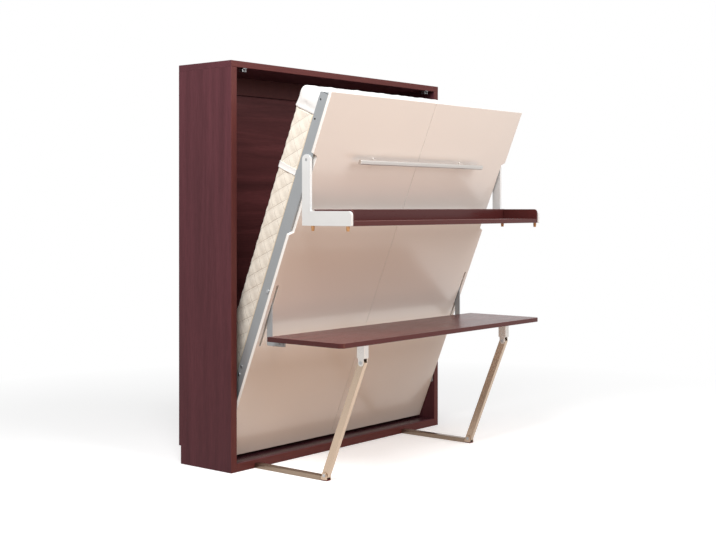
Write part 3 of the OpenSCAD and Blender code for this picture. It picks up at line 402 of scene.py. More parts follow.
def lacquer_material(name, tint, edge):
    """Gloss lacquer, with a lighter colour on the panels' edges that is a painted highlight."""
    net = Surface(name, Coat_Weight=0.6, Coat_Roughness=0.18, Coat_IOR=1.6, Specular_IOR_Level=0.5)
    marks = net.use(handling_group(), Vector=net.place, Scale=2.2)
    tone = net.shades(net.noise(net.place, 1.3, 2.0), tint, 0.97, 1.03)
    # A lighter colour on faces that don't look along Y: painted highlight on the panels' edges
    tone = net.mix(net.between(net.maths("ABSOLUTE", net.normal()[1]), 0.80, 0.60), tone, solid(edge))
    rough = net.between(marks["Smudge"], 0, 1, 0.30, 0.36)
    skin = net.noise(net.place, 160.0, 2.0)
    return net.set(Base_Color=tone, Roughness=rough, Normal=net.bump(skin, 0.00004))


def coat_material(name, tint, metallic, roughness):
    """Powder coat or paint on steel: a fine skin and a few scuffs."""
    net = Surface(name, Metallic=metallic, Specular_IOR_Level=0.5)
    marks = net.use(handling_group(), Vector=net.place)
    tone = net.shades(net.noise(net.place, 9.0), tint, 0.93, 1.07)
    tone = net.mix(net.times(marks["Scuff"], 0.18), tone, solid(tint, 0.6))
    rough = net.between(marks["Smudge"], 0, 1, roughness, roughness + 0.12)
    skin = net.noise(net.place, 1100.0, 2.0, 0.6)
    return net.set(Base_Color=tone, Roughness=rough, Normal=net.bump(skin, 0.00008))


def brushed_material(name, tint, along, roughness, turn=0.0):
    """Brushed metal whose lines run along an axis, in a piece that is turned about X."""
    net = Surface(name, Metallic=1.0)
    turned = {"Vector": net.place, "Angle": -turn}
    way = net.add("ShaderNodeVectorRotate", turned, rotation_type="X_AXIS").outputs[0]
    lines = net.use(brush_group(), Vector=way, Along=along)
    tone = net.shades(lines["Cloud"], tint, 0.94, 1.05)
    tone = net.mix(net.between(lines["Lines"], 0.35, 0.7, 0, 0.16), tone, solid(tint, 0.72))
    rough = net.between(lines["Lines"], 0.3, 0.7, roughness - 0.06, roughness + 0.10)
    return net.set(Base_Color=tone, Roughness=rough, Normal=net.bump(lines["Lines"], 0.00001))


def plain_material(name, tint, roughness):
    """Moulded plastic or rubber with a fine grain."""
    net = Surface(name, Specular_IOR_Level=0.4)
    grain = net.noise(net.place, 500.0, 3.0, 0.6)
    tone = net.shades(net.noise(net.place, 12.0), tint, 0.85, 1.15)
    rough = net.between(grain, 0.3, 0.7, roughness - 0.08, roughness + 0.08)
    return net.set(Base_Color=tone, Roughness=rough, Normal=net.bump(grain, 0.00006))


def cloth_material(name, tint, thread, pitch=None):
    """Woven cloth on the piece's own map in metres, quilted in diamonds where a pitch is given."""
    net = Surface(name, Sheen_Weight=0.25, Sheen_Roughness=0.5, Specular_IOR_Level=0.2)
    weave = net.use(weave_group(), Vector=net.map, Thread=thread)
    cloud = net.noise(net.map, 5.0, 4.0, 0.55)
    tone = net.shades(cloud, tint, 0.95, 1.04)
    tone = net.mix(net.between(weave["Slub"], 0.35, 0.7, 0, 0.22), tone, solid(tint, 0.80))
    height = net.maths("ADD", net.times(weave["Thread"], 0.35), net.times(weave["Slub"], 0.3))
    if pitch:
        quilt = net.use(quilt_group(), Vector=net.map, Pitch=pitch * math.sqrt(2))
        # The seams are darkened: painted shade in their hollows
        tone = net.mix(net.times(quilt["Seam"], 0.45), tone, solid(tint, 0.85))
        tone = net.mix(net.times(quilt["Stitch"], 0.6), tone, solid(tint, 1.1))
        height = net.maths("SUBTRACT", height, net.times(quilt["Seam"], 3.0))
    rough = net.between(cloud, 0.3, 0.7, 0.82, 0.94)
    return net.set(Base_Color=tone, Roughness=rough, Normal=net.bump(height, 0.0004))


# ---- Meshes ----
def add_object(name, mesh):
    made = bpy.data.objects.new(name, mesh)
    bpy.context.scene.collection.objects.link(made)
    return made


def shade_smooth(mesh):
    mesh.polygons.foreach_set("use_smooth", [True] * len(mesh.polygons))


def add_mesh(name, points, faces, edges=(), place=None):
    mesh = bpy.data.meshes.new(name)
    mesh.from_pydata([tuple(p) for p in points], list(edges), [tuple(f) for f in faces])
    if place:
        mesh.transform(place)
    shade_smooth(mesh)
    return add_object(name, mesh)


def loft_faces(rings, sides):
    """Faces round a row of closed rings, with a face over each end."""
    walls = [
        (i * sides + k, i * sides + (k + 1) % sides, (i + 1) * sides + (k + 1) % sides, (i + 1) * sides + k)
        for i in range(rings - 1) for k in range(sides)
    ]
    return walls + [tuple(range(sides - 1, -1, -1)), tuple(range((rings - 1) * sides, rings * sides))]


def distances(path):
    """How far along a path each of its points lies."""
    return np.concatenate([[0], np.cumsum(np.linalg.norm(np.diff(path, axis=0), axis=1))])


def add_map(mesh, values):
    """A map in metres, from a pair of values for each corner of each face."""
    layer = mesh.uv_layers.new(name="UVMap")
    layer.uv.foreach_set("vector", np.asarray(values, np.float32).ravel())


def keep_mesh(made):
    """Turns the piece's modifiers into its mesh."""
    graph = bpy.context.evaluated_depsgraph_get()
    mesh = bpy.data.meshes.new_from_object(made.evaluated_get(graph), depsgraph=graph)
    made.modifiers.clear()
    made.data = mesh
    return made


def dress(made, material, body, replaced=()):
    """Gives a finished piece its material, its body and the nodes that it stands for."""
    if material:
        made.data.materials.clear()
        made.data.materials.append(material)
    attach(made, body)
    if replaced:
        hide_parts(*replaced)
    return made


def body_of(node):
    return next(body for body, nodes in BODIES.items() if node in nodes)


def nodes_of(slot):
    return [node for node, its_slot in SLOTS.items() if its_slot == slot]


def finish_slot(slot, width, material):
    for node in nodes_of(slot):
        eased(node, width, material)


def points_of(made):
    values = np.empty(len(made.data.vertices) * 3)
    made.data.vertices.foreach_get("co", values)
    return values.reshape(-1, 3)


def in_bed(made):
    """A piece's points in the bed's own frame."""
    return points_of(made) @ TO_BED[:3, :3].T + TO_BED[:3, 3]


def eased(node, width, material, segments=2):
    """A copy of a rigid node with its sharp edges rounded, in the node's place."""
    shape = bmesh.new()
    shape.from_mesh(NODES[node].data)
    bmesh.ops.remove_doubles(shape, verts=shape.verts, dist=MERGE)
    bmesh.ops.dissolve_limit(shape, angle_limit=FLAT, verts=shape.verts, edges=shape.edges)
    mesh = bpy.data.meshes.new(node + "_shape")
    shape.to_mesh(mesh)
    shape.free()
    shade_smooth(mesh)
    made = ease(add_object(node + "_finished", mesh), width, segments)
    return dress(made, material, body_of(node), [node])


def tube(name, path, radius, sides):
    """A round cord along a path of points, with closed ends and a map in metres."""
    ahead = np.gradient(path, axis=0)
    ahead /= np.linalg.norm(ahead, axis=1)[:, None]
    side = np.cross(ahead[0], (0.3, 0.5, 0.8))
    rings = []
    for point, along in zip(path, ahead):
        side = side - along * side.dot(along)
        side /= np.linalg.norm(side)
        other = np.cross(along, side)
        turns = [2 * math.pi * k / sides for k in range(sides)]
        rings.append([point + radius * (math.cos(t) * side + math.sin(t) * other) for t in turns])
    made = add_mesh(name, np.concatenate(rings), loft_faces(len(rings), sides), place=BED)
    run = distances(path)
    add_map(made.data, [
        (run[v // sides], 2 * math.pi * radius * (v % sides) / sides) for v in loop_vertices(made.data)
    ])
    return made


def loop_vertices(mesh):
    values = np.empty(len(mesh.loops), np.int32)
    mesh.loops.foreach_get("vertex_index", values)
    return values


def rounded_path(points, radius):
    """A path through points whose corners are rounded over a length."""
    points = [np.asarray(p, float) for p in points]
    path = [points[0]]
    for before, at, after in zip(points, points[1:], points[2:]):
        a, b = (way / np.linalg.norm(way) for way in (before - at, after - at))
        bend = np.arange(BEND_STEPS + 1) / BEND_STEPS
        path += [at + radius * ((1 - t) ** 2 * a + t ** 2 * b) for t in bend]
    return path + [points[-1]]


def spread(path, step):
    """Points at even steps along a path."""
    path = np.asarray(path, float)
    run = distances(path)
    at = np.linspace(0, run[-1], max(2, round(run[-1] / step)) + 1)
    return np.stack([np.interp(at, run, path[:, i]) for i in range(3)], axis=1)


def ease(made, width, segments):
    """Rounds the sharp edges of a piece."""
    made.data.set_sharp_from_angle(angle=SHARP)
    bevel = made.modifiers.new("Ease", "BEVEL")
    bevel.width, bevel.segments, bevel.profile = width, segments, 0.5
    bevel.limit_method, bevel.angle_limit = "ANGLE", SHARP
    bevel.harden_normals = True
    return keep_mesh(made)


def prism(name, outline_yz, x0, x1):
    """A solid between two places along X, from its outline in Y and Z."""
    points = [(x, *p) for x in (x0, x1) for p in outline_yz]
    made = add_mesh(name, points, loft_faces(2, len(outline_yz)))
    shape = bmesh.new()
    shape.from_mesh(made.data)
    bmesh.ops.recalc_face_normals(shape, faces=shape.faces)
    shape.to_mesh(made.data)
    shape.free()
    return made


# ---- Boards ----
def shelf_end(name, sign, given, material):
    """End board of the shelf on the inner side of an arm, with the arm's rounded nose."""
    board_low, board_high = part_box("shelf_board")
    up_low, up_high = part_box("shelf_upstand")
    low, high, front, rear = board_high.z, up_high.z - END_DROP, board_low.y, up_low.y
    turns = np.linspace(0, math.pi / 2, 10)
    nose = [(front + END_NOSE * (1 - math.cos(t)), high - END_NOSE * (1 - math.sin(t))) for t in turns]
    edge = [(rear, low), (rear, high), *nose[::-1], (front, low)]
    made = prism(name, edge, sign * (board_high.x - END_T), sign * board_high.x)
    ease(made, given.ease / 2, 2)
    return dress(made, material, "shelf")


# ---- Geometry Nodes ----
def geometry_tree(name, inputs, build):
    """A tree that ends in Realize Instances and Set Material, with named inputs."""
    if name in bpy.data.node_groups:
        return bpy.data.node_groups[name]
    tree = bpy.data.node_groups.new(name, "GeometryNodeTree")
    shape = {"Geometry": ("NodeSocketGeometry", None)}
    add_sockets(tree, "INPUT", {**shape, **inputs, "Material": ("NodeSocketMaterial", None)})
    add_sockets(tree, "OUTPUT", shape)
    net = Net(tree)
    given = tree.nodes.new("NodeGroupInput").outputs
    whole = net.add("GeometryNodeRealizeInstances", {"Geometry": build(net, given)}).outputs[0]
    paint = {"Geometry": whole, "Material": given["Material"]}
    painted = net.add("GeometryNodeSetMaterial", paint).outputs[0]
    smooth = net.add("GeometryNodeSetShadeSmooth", {"Geometry": painted}).outputs[0]
    net.put(tree.nodes.new("NodeGroupOutput").inputs["Geometry"], smooth)
    return tree


def run_tree(made, tree, **values):
    """Runs a tree on a piece, with its inputs set by their identifiers, and keeps the mesh."""
    modifier = made.modifiers.new(tree.name, "NODES")
    modifier.node_group = tree
    found = {s.name: s.identifier for s in tree.interface.items_tree if s.in_out == "INPUT"}
    for name, value in values.items():
        modifier[found[name]] = value
    return keep_mesh(made)


def beads(net, given, segments, rings, radius, share, turn=None):
    """Beads at even steps along the edges of a mesh, stretched along their own Z."""
    line = net.add("GeometryNodeMeshToCurve", {"Mesh": given["Geometry"]}).outputs[0]
    steps = {"Curve": line, "Length": given["Step"]}
    points = net.add("GeometryNodeCurveToPoints", steps, mode="LENGTH").outputs
    round_bead = {"Segments": segments, "Rings": rings, "Radius": radius}
    bead = net.add("GeometryNodeMeshUVSphere", round_bead).outputs[0]
    size = net.add("ShaderNodeCombineXYZ", {0: 1.0, 1: 1.0, 2: share}).outputs[0]
    bead = net.add("GeometryNodeTransform", {"Geometry": bead, "Scale": size}).outputs[0]
    values = {"Points": points["Points"], "Instance": bead, "Rotation": turn or points["Rotation"]}
    return net.add("GeometryNodeInstanceOnPoints", values).outputs[0]


def heads_tree():
    """Domed heads at even steps along the edges of a mesh, all facing one way."""

    def build(net, given):
        turn = net.add("FunctionNodeEulerToRotation", {0: given["Turn"]}).outputs[0]
        return beads(net, given, 14, 8, given["Radius"], given["Dome"], turn)

    inputs = {
        "Step": (FLOAT, 0.15), "Radius": (FLOAT, 0.003), "Dome": (FLOAT, 0.4), "Turn": (VECTOR, (0, 0, 0)),
    }
    return geometry_tree("Heads along a path", inputs, build)


def stitches_tree():
    """Thread stitches at even steps along the edges of a mesh, laid along them."""

    def build(net, given):
        long = net.maths("DIVIDE", net.times(given["Step"], 0.36), given["Thread"])
        return beads(net, given, 6, 4, given["Thread"], long)

    inputs = {"Step": (FLOAT, 0.0085), "Thread": (FLOAT, 0.0006)}
    return geometry_tree("Stitches along a path", inputs, build)


def line_mesh(name, path, closed=False, place=None):
    """A mesh of edges along a path, for a tree to run on."""
    count = len(path)
    edges = [(i, i + 1) for i in range(count - 1)] + ([(count - 1, 0)] if closed else [])
    return add_mesh(name, path, [], edges, place)


def sew(name, path, material, step, closed=False, place=None):
    """A row of stitches on the bed along a path."""
    made = line_mesh(name, path, closed, place)
    run_tree(made, stitches_tree(), Step=step, Material=material)
    return dress(made, None, "bed")


# ---- Bedding ----
def bed_size(node):
    """Lowest and highest corner of a node in the bed's own frame."""
    points = in_bed(NODES[node])
    return Vector(points.min(0)), Vector(points.max(0))


def outline(node, count):
    """Even points round a soft node's section, their outward directions and the length round it."""
    low, high = bed_size(node)
    half, front, rear = high.x - SWELL, low.y, high.y - CROWN
    arc = np.linspace(0, math.pi / 2, ARC_POINTS)
    side = np.linspace(0, 1, SIDE_POINTS)[1:-1]
    across = np.linspace(0, 1, FACE_POINTS)[1:-1]
    out, up = EDGE_ROUND * np.sin(arc), EDGE_ROUND * np.cos(arc)
    flat = (half - EDGE_ROUND) * (1 - 2 * across)

    def bow(t):
        return 1 - (2 * t - 1) ** 2

    right = [
        np.stack([half - EDGE_ROUND + out, front + EDGE_ROUND - up], 1),
        np.stack([half + SWELL * bow(side), front + EDGE_ROUND + (rear - front - 2 * EDGE_ROUND) * side], 1),
        np.stack([half - EDGE_ROUND + up, rear - EDGE_ROUND + out], 1),
    ]
    left = [part[::-1] * (-1, 1) for part in reversed(right)]
    rear_face = np.stack([flat, rear + CROWN * bow(across)], 1)
    front_face = np.stack([-flat, np.full(len(across), front)], 1)
    ring = np.concatenate([*right, rear_face, *left, front_face])
    ring = np.concatenate([ring, ring[:1]])
    run = distances(ring)
    at = np.linspace(0, run[-1], count + 1)[:-1]
    points = np.stack([np.interp(at, run, ring[:, i]) for i in (0, 1)], 1)
    ahead = np.roll(points, -1, axis=0) - np.roll(points, 1, axis=0)
    ahead /= np.linalg.norm(ahead, axis=1)[:, None]
    return points, np.stack([ahead[:, 1], -ahead[:, 0]], 1), run[-1]


def smooth_step(value, low, high):
    t = np.clip((np.asarray(value, float) - low) / (high - low), 0, 1)
    return t * t * (3 - 2 * t)


def map_loops(made, across, along, ends):
    """A map in metres from two values of each point; the ends take their own, and the join runs on."""
    mesh = made.data
    points = loop_vertices(mesh)
    values = np.stack([np.asarray(across)[points], np.asarray(along)[points]], 1)
    whole = np.ptp(across)
    for face in mesh.polygons:
        part = values[face.loop_start:face.loop_start + face.loop_total]
        if face.loop_total > 4:
            part[:] = ends[points[face.loop_start:face.loop_start + face.loop_total]]
        elif np.ptp(part[:, 0]) > whole / 2:
            part[part[:, 0] < whole / 2, 0] += whole
    add_map(mesh, values)


def quilted_mattress(settings, material):
    """The mattress: crowned faces, swelling sides and diamond quilting all round, pinched at the piping."""
    low, high = bed_size("mattress")
    bare = outline("mattress", ROUGH_POINTS)[2]
    rows = round(bare / (settings.quilt * math.sqrt(2)))
    pitch = bare / rows
    count = rows * QUILT_STEPS
    step = bare / count
    at = np.arange(count) * step
    ring, out, _ = outline("mattress", count)
    pipes = [(sign * (high.x - SWELL), low.y + PIPING_IN) for _, sign in SIDES]
    near = np.min([np.linalg.norm(ring - pipe, axis=1) for pipe in pipes], axis=0)
    turns = [math.pi / 2 * k / END_STEPS for k in range(END_STEPS)]
    levels = [(low.z + EDGE_ROUND * (1 - math.cos(t)), EDGE_ROUND * (1 - math.sin(t))) for t in turns]
    straight = high.z - low.z - EDGE_ROUND
    runs = round(straight / step)
    levels += [(low.z + EDGE_ROUND + straight * k / runs, 0.0) for k in range(runs + 1)]
    points = []
    for z, inset in levels:
        v = z - low.z
        pillow = np.abs(np.sin(math.pi * (at + v) / pitch) * np.sin(math.pi * (at - v) / pitch)) ** 0.5
        tight = smooth_step(near, *PINCH_SIDE) * smooth_step(v, *PINCH_END)
        rise = settings.puff * (pillow * tight - 1)
        flat = ring + out * (rise - inset)[:, None]
        points.append(np.column_stack([flat, np.full(count, z)]))
    points = np.concatenate(points)
    made = add_mesh("mattress_quilted", points, loft_faces(len(levels), count), place=BED)
    along = np.repeat([z - low.z for z, _ in levels], count)
    map_loops(made, np.tile(at, len(levels)), along, points[:, :2])
    dress(made, material, "bed", ["mattress"])


def piping_path():
    """The line of the piping: down one side of the mattress, across its lower end and up the other side."""
    low, high = bed_size("mattress")
    share = (PIPING_IN - EDGE_ROUND) / (high.y - CROWN - low.y - 2 * EDGE_ROUND)
    x = high.x - SWELL * (2 * share - 1) ** 2 + PIPING_OUT
    y, foot = low.y + PIPING_IN, low.z - PIPING_OUT
    points = [(-x, y, high.z), (-x, y, foot), (x, y, foot), (x, y, high.z)]
    return spread(rounded_path(points, EDGE_ROUND), 0.02)


def box_map(made):
    """A map in metres: each face takes the two of the bed's axes that it lies along."""
    mesh = made.data
    points = in_bed(made)
    values = np.empty((len(mesh.loops), 2), np.float32)
    turned = np.empty(len(mesh.polygons) * 3)
    mesh.polygons.foreach_get("normal", turned)
    main = np.abs(turned.reshape(-1, 3) @ TO_BED[:3, :3].T).argmax(1)
    pairs = {0: (1, 2), 1: (0, 2), 2: (0, 1)}
    which = loop_vertices(mesh)
    for face, axis in zip(mesh.polygons, main):
        part = slice(face.loop_start, face.loop_start + face.loop_total)
        values[part] = points[which[part]][:, pairs[axis]]
    add_map(mesh, values)


def inflate(made, cap):
    """Cloth under pressure, whose points may move no further than the cap of each."""
    start = points_of(made)
    cloth = made.modifiers.new("Cloth", "CLOTH")
    cloth.settings.quality = 6
    cloth.settings.mass = 0.3
    cloth.settings.use_pressure = True
    cloth.settings.uniform_pressure_force = 4.0
    cloth.settings.effector_weights.gravity = 0.0
    cloth.settings.tension_stiffness = cloth.settings.compression_stiffness = 12.0
    cloth.settings.bending_stiffness = 0.4
    scene = bpy.context.scene
    for at in range(1, PUFF_FRAMES + 1):
        scene.frame_set(at)
    graph = bpy.context.evaluated_depsgraph_get()
    moved = points_of(made.evaluated_get(graph))
    made.modifiers.clear()
    scene.frame_set(1)
    step = moved - start
    long = np.linalg.norm(step, axis=1)
    share = np.minimum(1.0, cap / np.maximum(long, 1e-9))
    made.data.vertices.foreach_set("co", (start + step * share[:, None]).ravel())
    made.data.update()


def end_cover(material):
    """The white cover on the mattress's upper end, filled out by pressure and drawn in at its hem."""
    low, high = bed_size("mattress_cover")
    levels = [(low.z, 0.003), (low.z + 0.004, 0.0), (low.z + HEM, 0.0), (low.z + HEM + 0.003, 0.0022)]
    levels += [(z, COVER_IN) for z in np.linspace(low.z + HEM + 0.012, high.z - COVER_ROUND, 6)]
    turns = [math.pi / 2 * k / COVER_STEPS for k in range(1, COVER_STEPS + 1)]
    levels += [(high.z - COVER_ROUND * (1 - math.sin(t)),
                COVER_IN + COVER_ROUND * COVER_SHARE * (1 - math.cos(t))) for t in turns]
    ring, out, _ = outline("mattress_cover", COVER_POINTS)
    points = [np.column_stack([ring - out * inset, np.full(COVER_POINTS, z)]) for z, inset in levels]
    made = add_mesh("mattress_end_cover", np.concatenate(points), loft_faces(len(levels), COVER_POINTS))
    remesh = made.modifiers.new("Voxels", "REMESH")
    remesh.mode, remesh.voxel_size, remesh.use_smooth_shade = "VOXEL", COVER_VOXEL, True
    keep_mesh(made)
    across, _, height = points_of(made).T
    starts = np.random.default_rng(11).uniform(0, 6, 3)
    folds = sum(np.sin(across * turn + start) for turn, start in zip(FOLD_TURNS, starts))
    cap = COVER_PUFF * (0.65 + 0.12 * folds) * smooth_step(height, low.z + HEM, low.z + HEM + 0.05)
    inflate(made, np.maximum(cap, 0.0))
    kept = points_of(made)
    kept[:, 1] = np.maximum(kept[:, 1], low.y + COVER_CLEAR)
    made.data.vertices.foreach_set("co", kept.ravel())
    made.data.transform(BED)
    round_off = made.modifiers.new("Round", "SUBSURF")
    round_off.levels = round_off.render_levels = 1
    keep_mesh(made)
    shade_smooth(made.data)
    box_map(made)
    dress(made, material, "bed", ["mattress_cover"])
    return made


def on_skin(made, points, out):
    """The points moved onto a piece's surface, from outside along their directions."""
    tree = BVHTree.FromPolygons([v.co for v in made.data.vertices], [p.vertices for p in made.data.polygons])
    found = []
    for point, away in zip(points, out):
        point, away = Vector(point), Vector(away).normalized()
        hit = tree.ray_cast(point + away * SKIN_REACH, -away, 2 * SKIN_REACH)[0]
        found.append(hit or point)
    return found


def ring_at(node, z):
    """A closed path round a soft node, in the row's frame, with outward directions."""
    ring, out, _ = outline(node, HEM_POINTS)
    turn = BED.to_3x3()
    return [BED @ Vector((*p, z)) for p in ring], [turn @ Vector((*o, 0)) for o in out]


def strap_band(material):
    """The strap over the mattress: woven webbing with thick edges, from hook to hook."""
    low, high = bed_size("mattress_strap")
    ring, out, _ = outline("mattress", STRAP_POINTS)
    wanted = ring[:, 1] > low.y
    first = int(np.argmax(wanted))
    line = np.arange(first, first + int(wanted.sum()))[::STRAP_STEP] % STRAP_POINTS
    ring, out = ring[line], out[line]
    width = high.z - low.z
    middle = (high.z + low.z) / 2
    inner = [(-across, depth) for across, depth in reversed(SELVEDGE)] + SELVEDGE
    profile = inner + [(across, 1 - depth) for across, depth in reversed(inner)]
    sides = len(profile)
    points = []
    for p, o in zip(ring, out):
        for across, depth in profile:
            q = p + o * (STRAP_GAP + STRAP_T * depth)
            points.append((q[0], q[1], middle + across * width))
    made = add_mesh("mattress_strap_webbing", points, loft_faces(len(ring), sides), place=BED)
    made.data.set_sharp_from_angle(angle=SHARP)
    run = distances(ring)
    add_map(made.data, [(profile[v % sides][0] * width, run[v // sides]) for v in loop_vertices(made.data)])
    dress(made, material, "bed", ["mattress_strap"])
    return ring, out, middle, width


def strap_stitches(ring, out, middle, width, material, step):
    """A sewn box with a cross near each end of the strap."""
    run = distances(ring)
    reach = width * SELVEDGE[0][0]
    rise = STRAP_GAP + STRAP_T * 0.9

    def place(along, across):
        p, o = ([np.interp(along, run, line[:, i]) for i in (0, 1)] for line in (ring, out))
        return (p[0] + o[0] * rise, p[1] + o[1] * rise, middle + across)

    for side, start in (("left", run[-1] - STITCH_BOX[1]), ("right", STITCH_BOX[0])):
        a, b = start, start + STITCH_BOX[1] - STITCH_BOX[0]
        square = [(a, -reach), (b, -reach), (b, reach), (a, reach), (a, -reach), (b, reach)]
        for name, ends in (("box", square), ("cross", [(a, reach), (b, -reach)])):
            path = spread([place(*end) for end in ends], 0.004)
            sew(f"strap_stitches_{side}_{name}", path, material, step, place=BED)


# ---- Fasteners ----
def panel_nails(material):
    """Nails round the rear face of the back panel."""
    low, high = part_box("back_panel")
    x, bottom, top = high.x - NAIL_IN, low.z + NAIL_IN, high.z - NAIL_IN
    line = [(x, high.y, z) for x, z in ((-x, bottom), (x, bottom), (x, top), (-x, top))]
    made = line_mesh("back_panel_nails", line, closed=True)
    facing = {"Turn": (math.pi / 2, 0, 0), "Dome": 0.35}
    run_tree(made, heads_tree(), Step=NAIL_STEP, Radius=NAIL_R, Material=material, **facing)
    dress(made, None, "cabinet")


def desk_screws(material):
    """Screws up through the angles and the stretcher into the desk top."""
    low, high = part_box("desk_angles")
    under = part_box("desk_top")[0].z - ANGLE_T
    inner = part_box("desk_arm_right")[0].x - ANGLE_W * 0.6
    for side, sign in SIDES:
        line = [(sign * inner, y, under) for y in (low.y + SCREW_IN, high.y - SCREW_IN)]
        made = line_mesh(f"desk_screws_{side}", line)
        run_tree(made, heads_tree(), Step=SCREW_STEP, Radius=SCREW_R, Dome=0.4, Material=material)
        dress(made, None, "desk")


# ---- Stage ----
def lamp(name, place, at, size, tint, watts):
    light = bpy.data.lights.new(name, "AREA")
    light.shape, light.size, light.energy, light.color = "SQUARE", size, watts, tint
    made = add_object(name, light)
    made.location = place
    made.visible_camera = False
    made.rotation_euler = (Vector(at) - made.location).to_track_quat("-Z", "Y").to_euler()


def seen_directly(net):
    """1 for rays from the camera, from a mirror or through glass, where the stage shows white."""
    path = net.add("ShaderNodeLightPath").outputs
    seen = net.maths("MAXIMUM", path["Is Camera Ray"], path["Is Glossy Ray"])
    return net.maths("MAXIMUM", seen, path["Is Transmission Ray"])


def stage_floor(given):
    half = given.floor
    edge = [(-half, -half, 0), (half, -half, 0), (half, half, 0), (-half, half, 0)]
    made = add_mesh("studio_floor", edge, [(0, 1, 2, 3)])
    net = Surface("studio_floor", Roughness=0.9, Specular_IOR_Level=0.0, Emission_Color=(1, 1, 1, 1))
    white = net.mix(net.noise(net.place, 3.0), (0.93, 0.93, 0.93, 1), (0.95, 0.95, 0.95, 1))
    away = net.add("ShaderNodeVectorMath", {0: net.place}, operation="LENGTH").outputs["Value"]
    far = net.between(away, *given.shade)
    seen = seen_directly(net)
    shown = net.mix(seen, (*given.bounce, 1), net.mix(far, white, (0, 0, 0, 1)))
    glow = net.times(seen, net.between(far, 0, 1, given.lift, 1.0))
    made.data.materials.append(net.set(Base_Color=shown, Emission_Strength=glow))
    net.made.cycles.emission_sampling = "NONE"


def stage_world(given):
    world = bpy.data.worlds.new("studio")
    bpy.context.scene.world = world
    world.use_nodes = True
    net = Net(world.node_tree)
    lit = world.node_tree.nodes["Background"]
    net.put(lit.inputs["Color"], (1, 1, 1, 1))
    net.put(lit.inputs["Strength"], net.between(seen_directly(net), 0, 1, given.sky, 1.0))


def stage_camera(given):
    camera = bpy.data.cameras.new("picture")
    camera.sensor_width, camera.lens, camera.shift_y = SENSOR_MM, given.focal, given.shift
    camera.clip_end = 100
    made = add_object("picture", camera)
    made.location = Vector(given.eye) + CORNER
    made.rotation_euler = (math.pi / 2 - given.pitch, 0, -given.yaw)
    bpy.context.scene.camera = made


# ---- Operators ----
class WALLBED_OT_boards(bpy.types.Operator):
    """Wood finish and eased edges of the cabinet, the desk and the shelf"""

    bl_idname = "wall_bed.boards"
    bl_label = "Boards"

    def execute(self, context):
        given = context.scene.bed_boards
        upright = board_material("cabinet_upright", given.cabinet, ALONG_Z, given.edge)
        level = board_material("cabinet_level", given.cabinet, ALONG_X, given.edge)
        # The darker edge colour of the desk and the shelf is painted shade on their upright sides
        gloss = board_material(
            "desk_and_shelf", given.board, ALONG_X, given.band,
            roughness=0.24, coat=0.16, spread=0.34, level=True, sheen=0.15,
        )
        # The base board takes the cabinet's wood at half its brightness: painted shade for the dark inside the
        # cabinet's foot
        shaded_cabinet = solid(given.cabinet, 0.5)[:3]
        own = {
            "back_panel": board_material("cabinet_back", given.back, ALONG_X, spread=0.36),
            "base_board": board_material(
                "cabinet_floor", shaded_cabinet, ALONG_X, given.edge, roughness=0.22, coat=0.3,
            ),
        }
        for node in nodes_of("cabinet_wood"):
            low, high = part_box(node)
            standing = upright if high.z - low.z > high.x - low.x else level
            eased(node, CABINET_EASE, own.get(node, standing))
        for node in nodes_of("board_wood"):
            eased(node, given.ease, gloss, 3)
        for name, sign in SIDES:
            shelf_end(f"shelf_end_{name}", sign, given, gloss)
        return {"FINISHED"}


class WALLBED_OT_panels(bpy.types.Operator):
    """High-gloss lacquer of the two face panels"""

    bl_idname = "wall_bed.panels"
    bl_label = "Face panels"

    def execute(self, context):
        given = context.scene.bed_boards
        lacquer = lacquer_material("face_lacquer", given.lacquer, given.edge_highlight)
        for node in nodes_of("panel_lacquer"):
            eased(node, PANEL_EASE, lacquer, 3)
        return {"FINISHED"}


class WALLBED_OT_frame(bpy.types.Operator):
    """Coats of the bed's frame and the shelf's arms, and the slats with their holders"""

    bl_idname = "wall_bed.frame"
    bl_label = "Frame and slats"

    def execute(self, context):
        given = context.scene.bed_metal
        finish_slot("frame_steel", STEEL_EASE, coat_material("frame_coat", given.frame, 0.35, 0.36))
        finish_slot("arm_paint", ARM_EASE, coat_material("arm_paint", given.arm, 0.0, 0.34))
        finish_slot("strut_paint", STEEL_EASE, coat_material("strut_paint", STRUT_BLACK, 0.0, 0.30))
        birch = board_material("slat_birch", BIRCH, ALONG_X, roughness=0.42, coat=0.25, spread=0.18)
        finish_slot("slat_wood", STEEL_EASE, birch)
        finish_slot("black_plastic", SMALL_EASE, plain_material("holder_plastic", HOLDER_BLACK, 0.5))
        return {"FINISHED"}


class WALLBED_OT_metal(bpy.types.Operator):
    """Brushed metal of the handle, the legs, their sockets and the floor tubes"""

    bl_idname = "wall_bed.metal"
    bl_label = "Handle and legs"

    def execute(self, context):
        given = context.scene.bed_metal
        bars = brushed_material("handle_metal", given.bright, ALONG_X, 0.32)
        sockets = brushed_material("socket_metal", given.bright, ALONG_Z, 0.28)
        legs = brushed_material("leg_metal", given.leg, ALONG_Z, 0.30, TILT)
        ends = brushed_material("fork_metal", given.leg, ALONG_Z, 0.30)
        # The floor tubes take the leg metal at 0.6 of its brightness: painted shade on the tubes low under the bed
        tubes = brushed_material("floor_tube_metal", solid(given.leg, 0.6)[:3], ALONG_Y, 0.30)
        for node in nodes_of("bright_steel"):
            if node == "foot_forks":
                eased(node, TUBE_EASE, ends)
            else:
                eased(node, TUBE_EASE, bars if node.startswith("handle") else sockets)
        for node in nodes_of("leg_metal"):
            eased(node, TUBE_EASE, legs if node.startswith("leg") else tubes, 3)
        return {"FINISHED"}


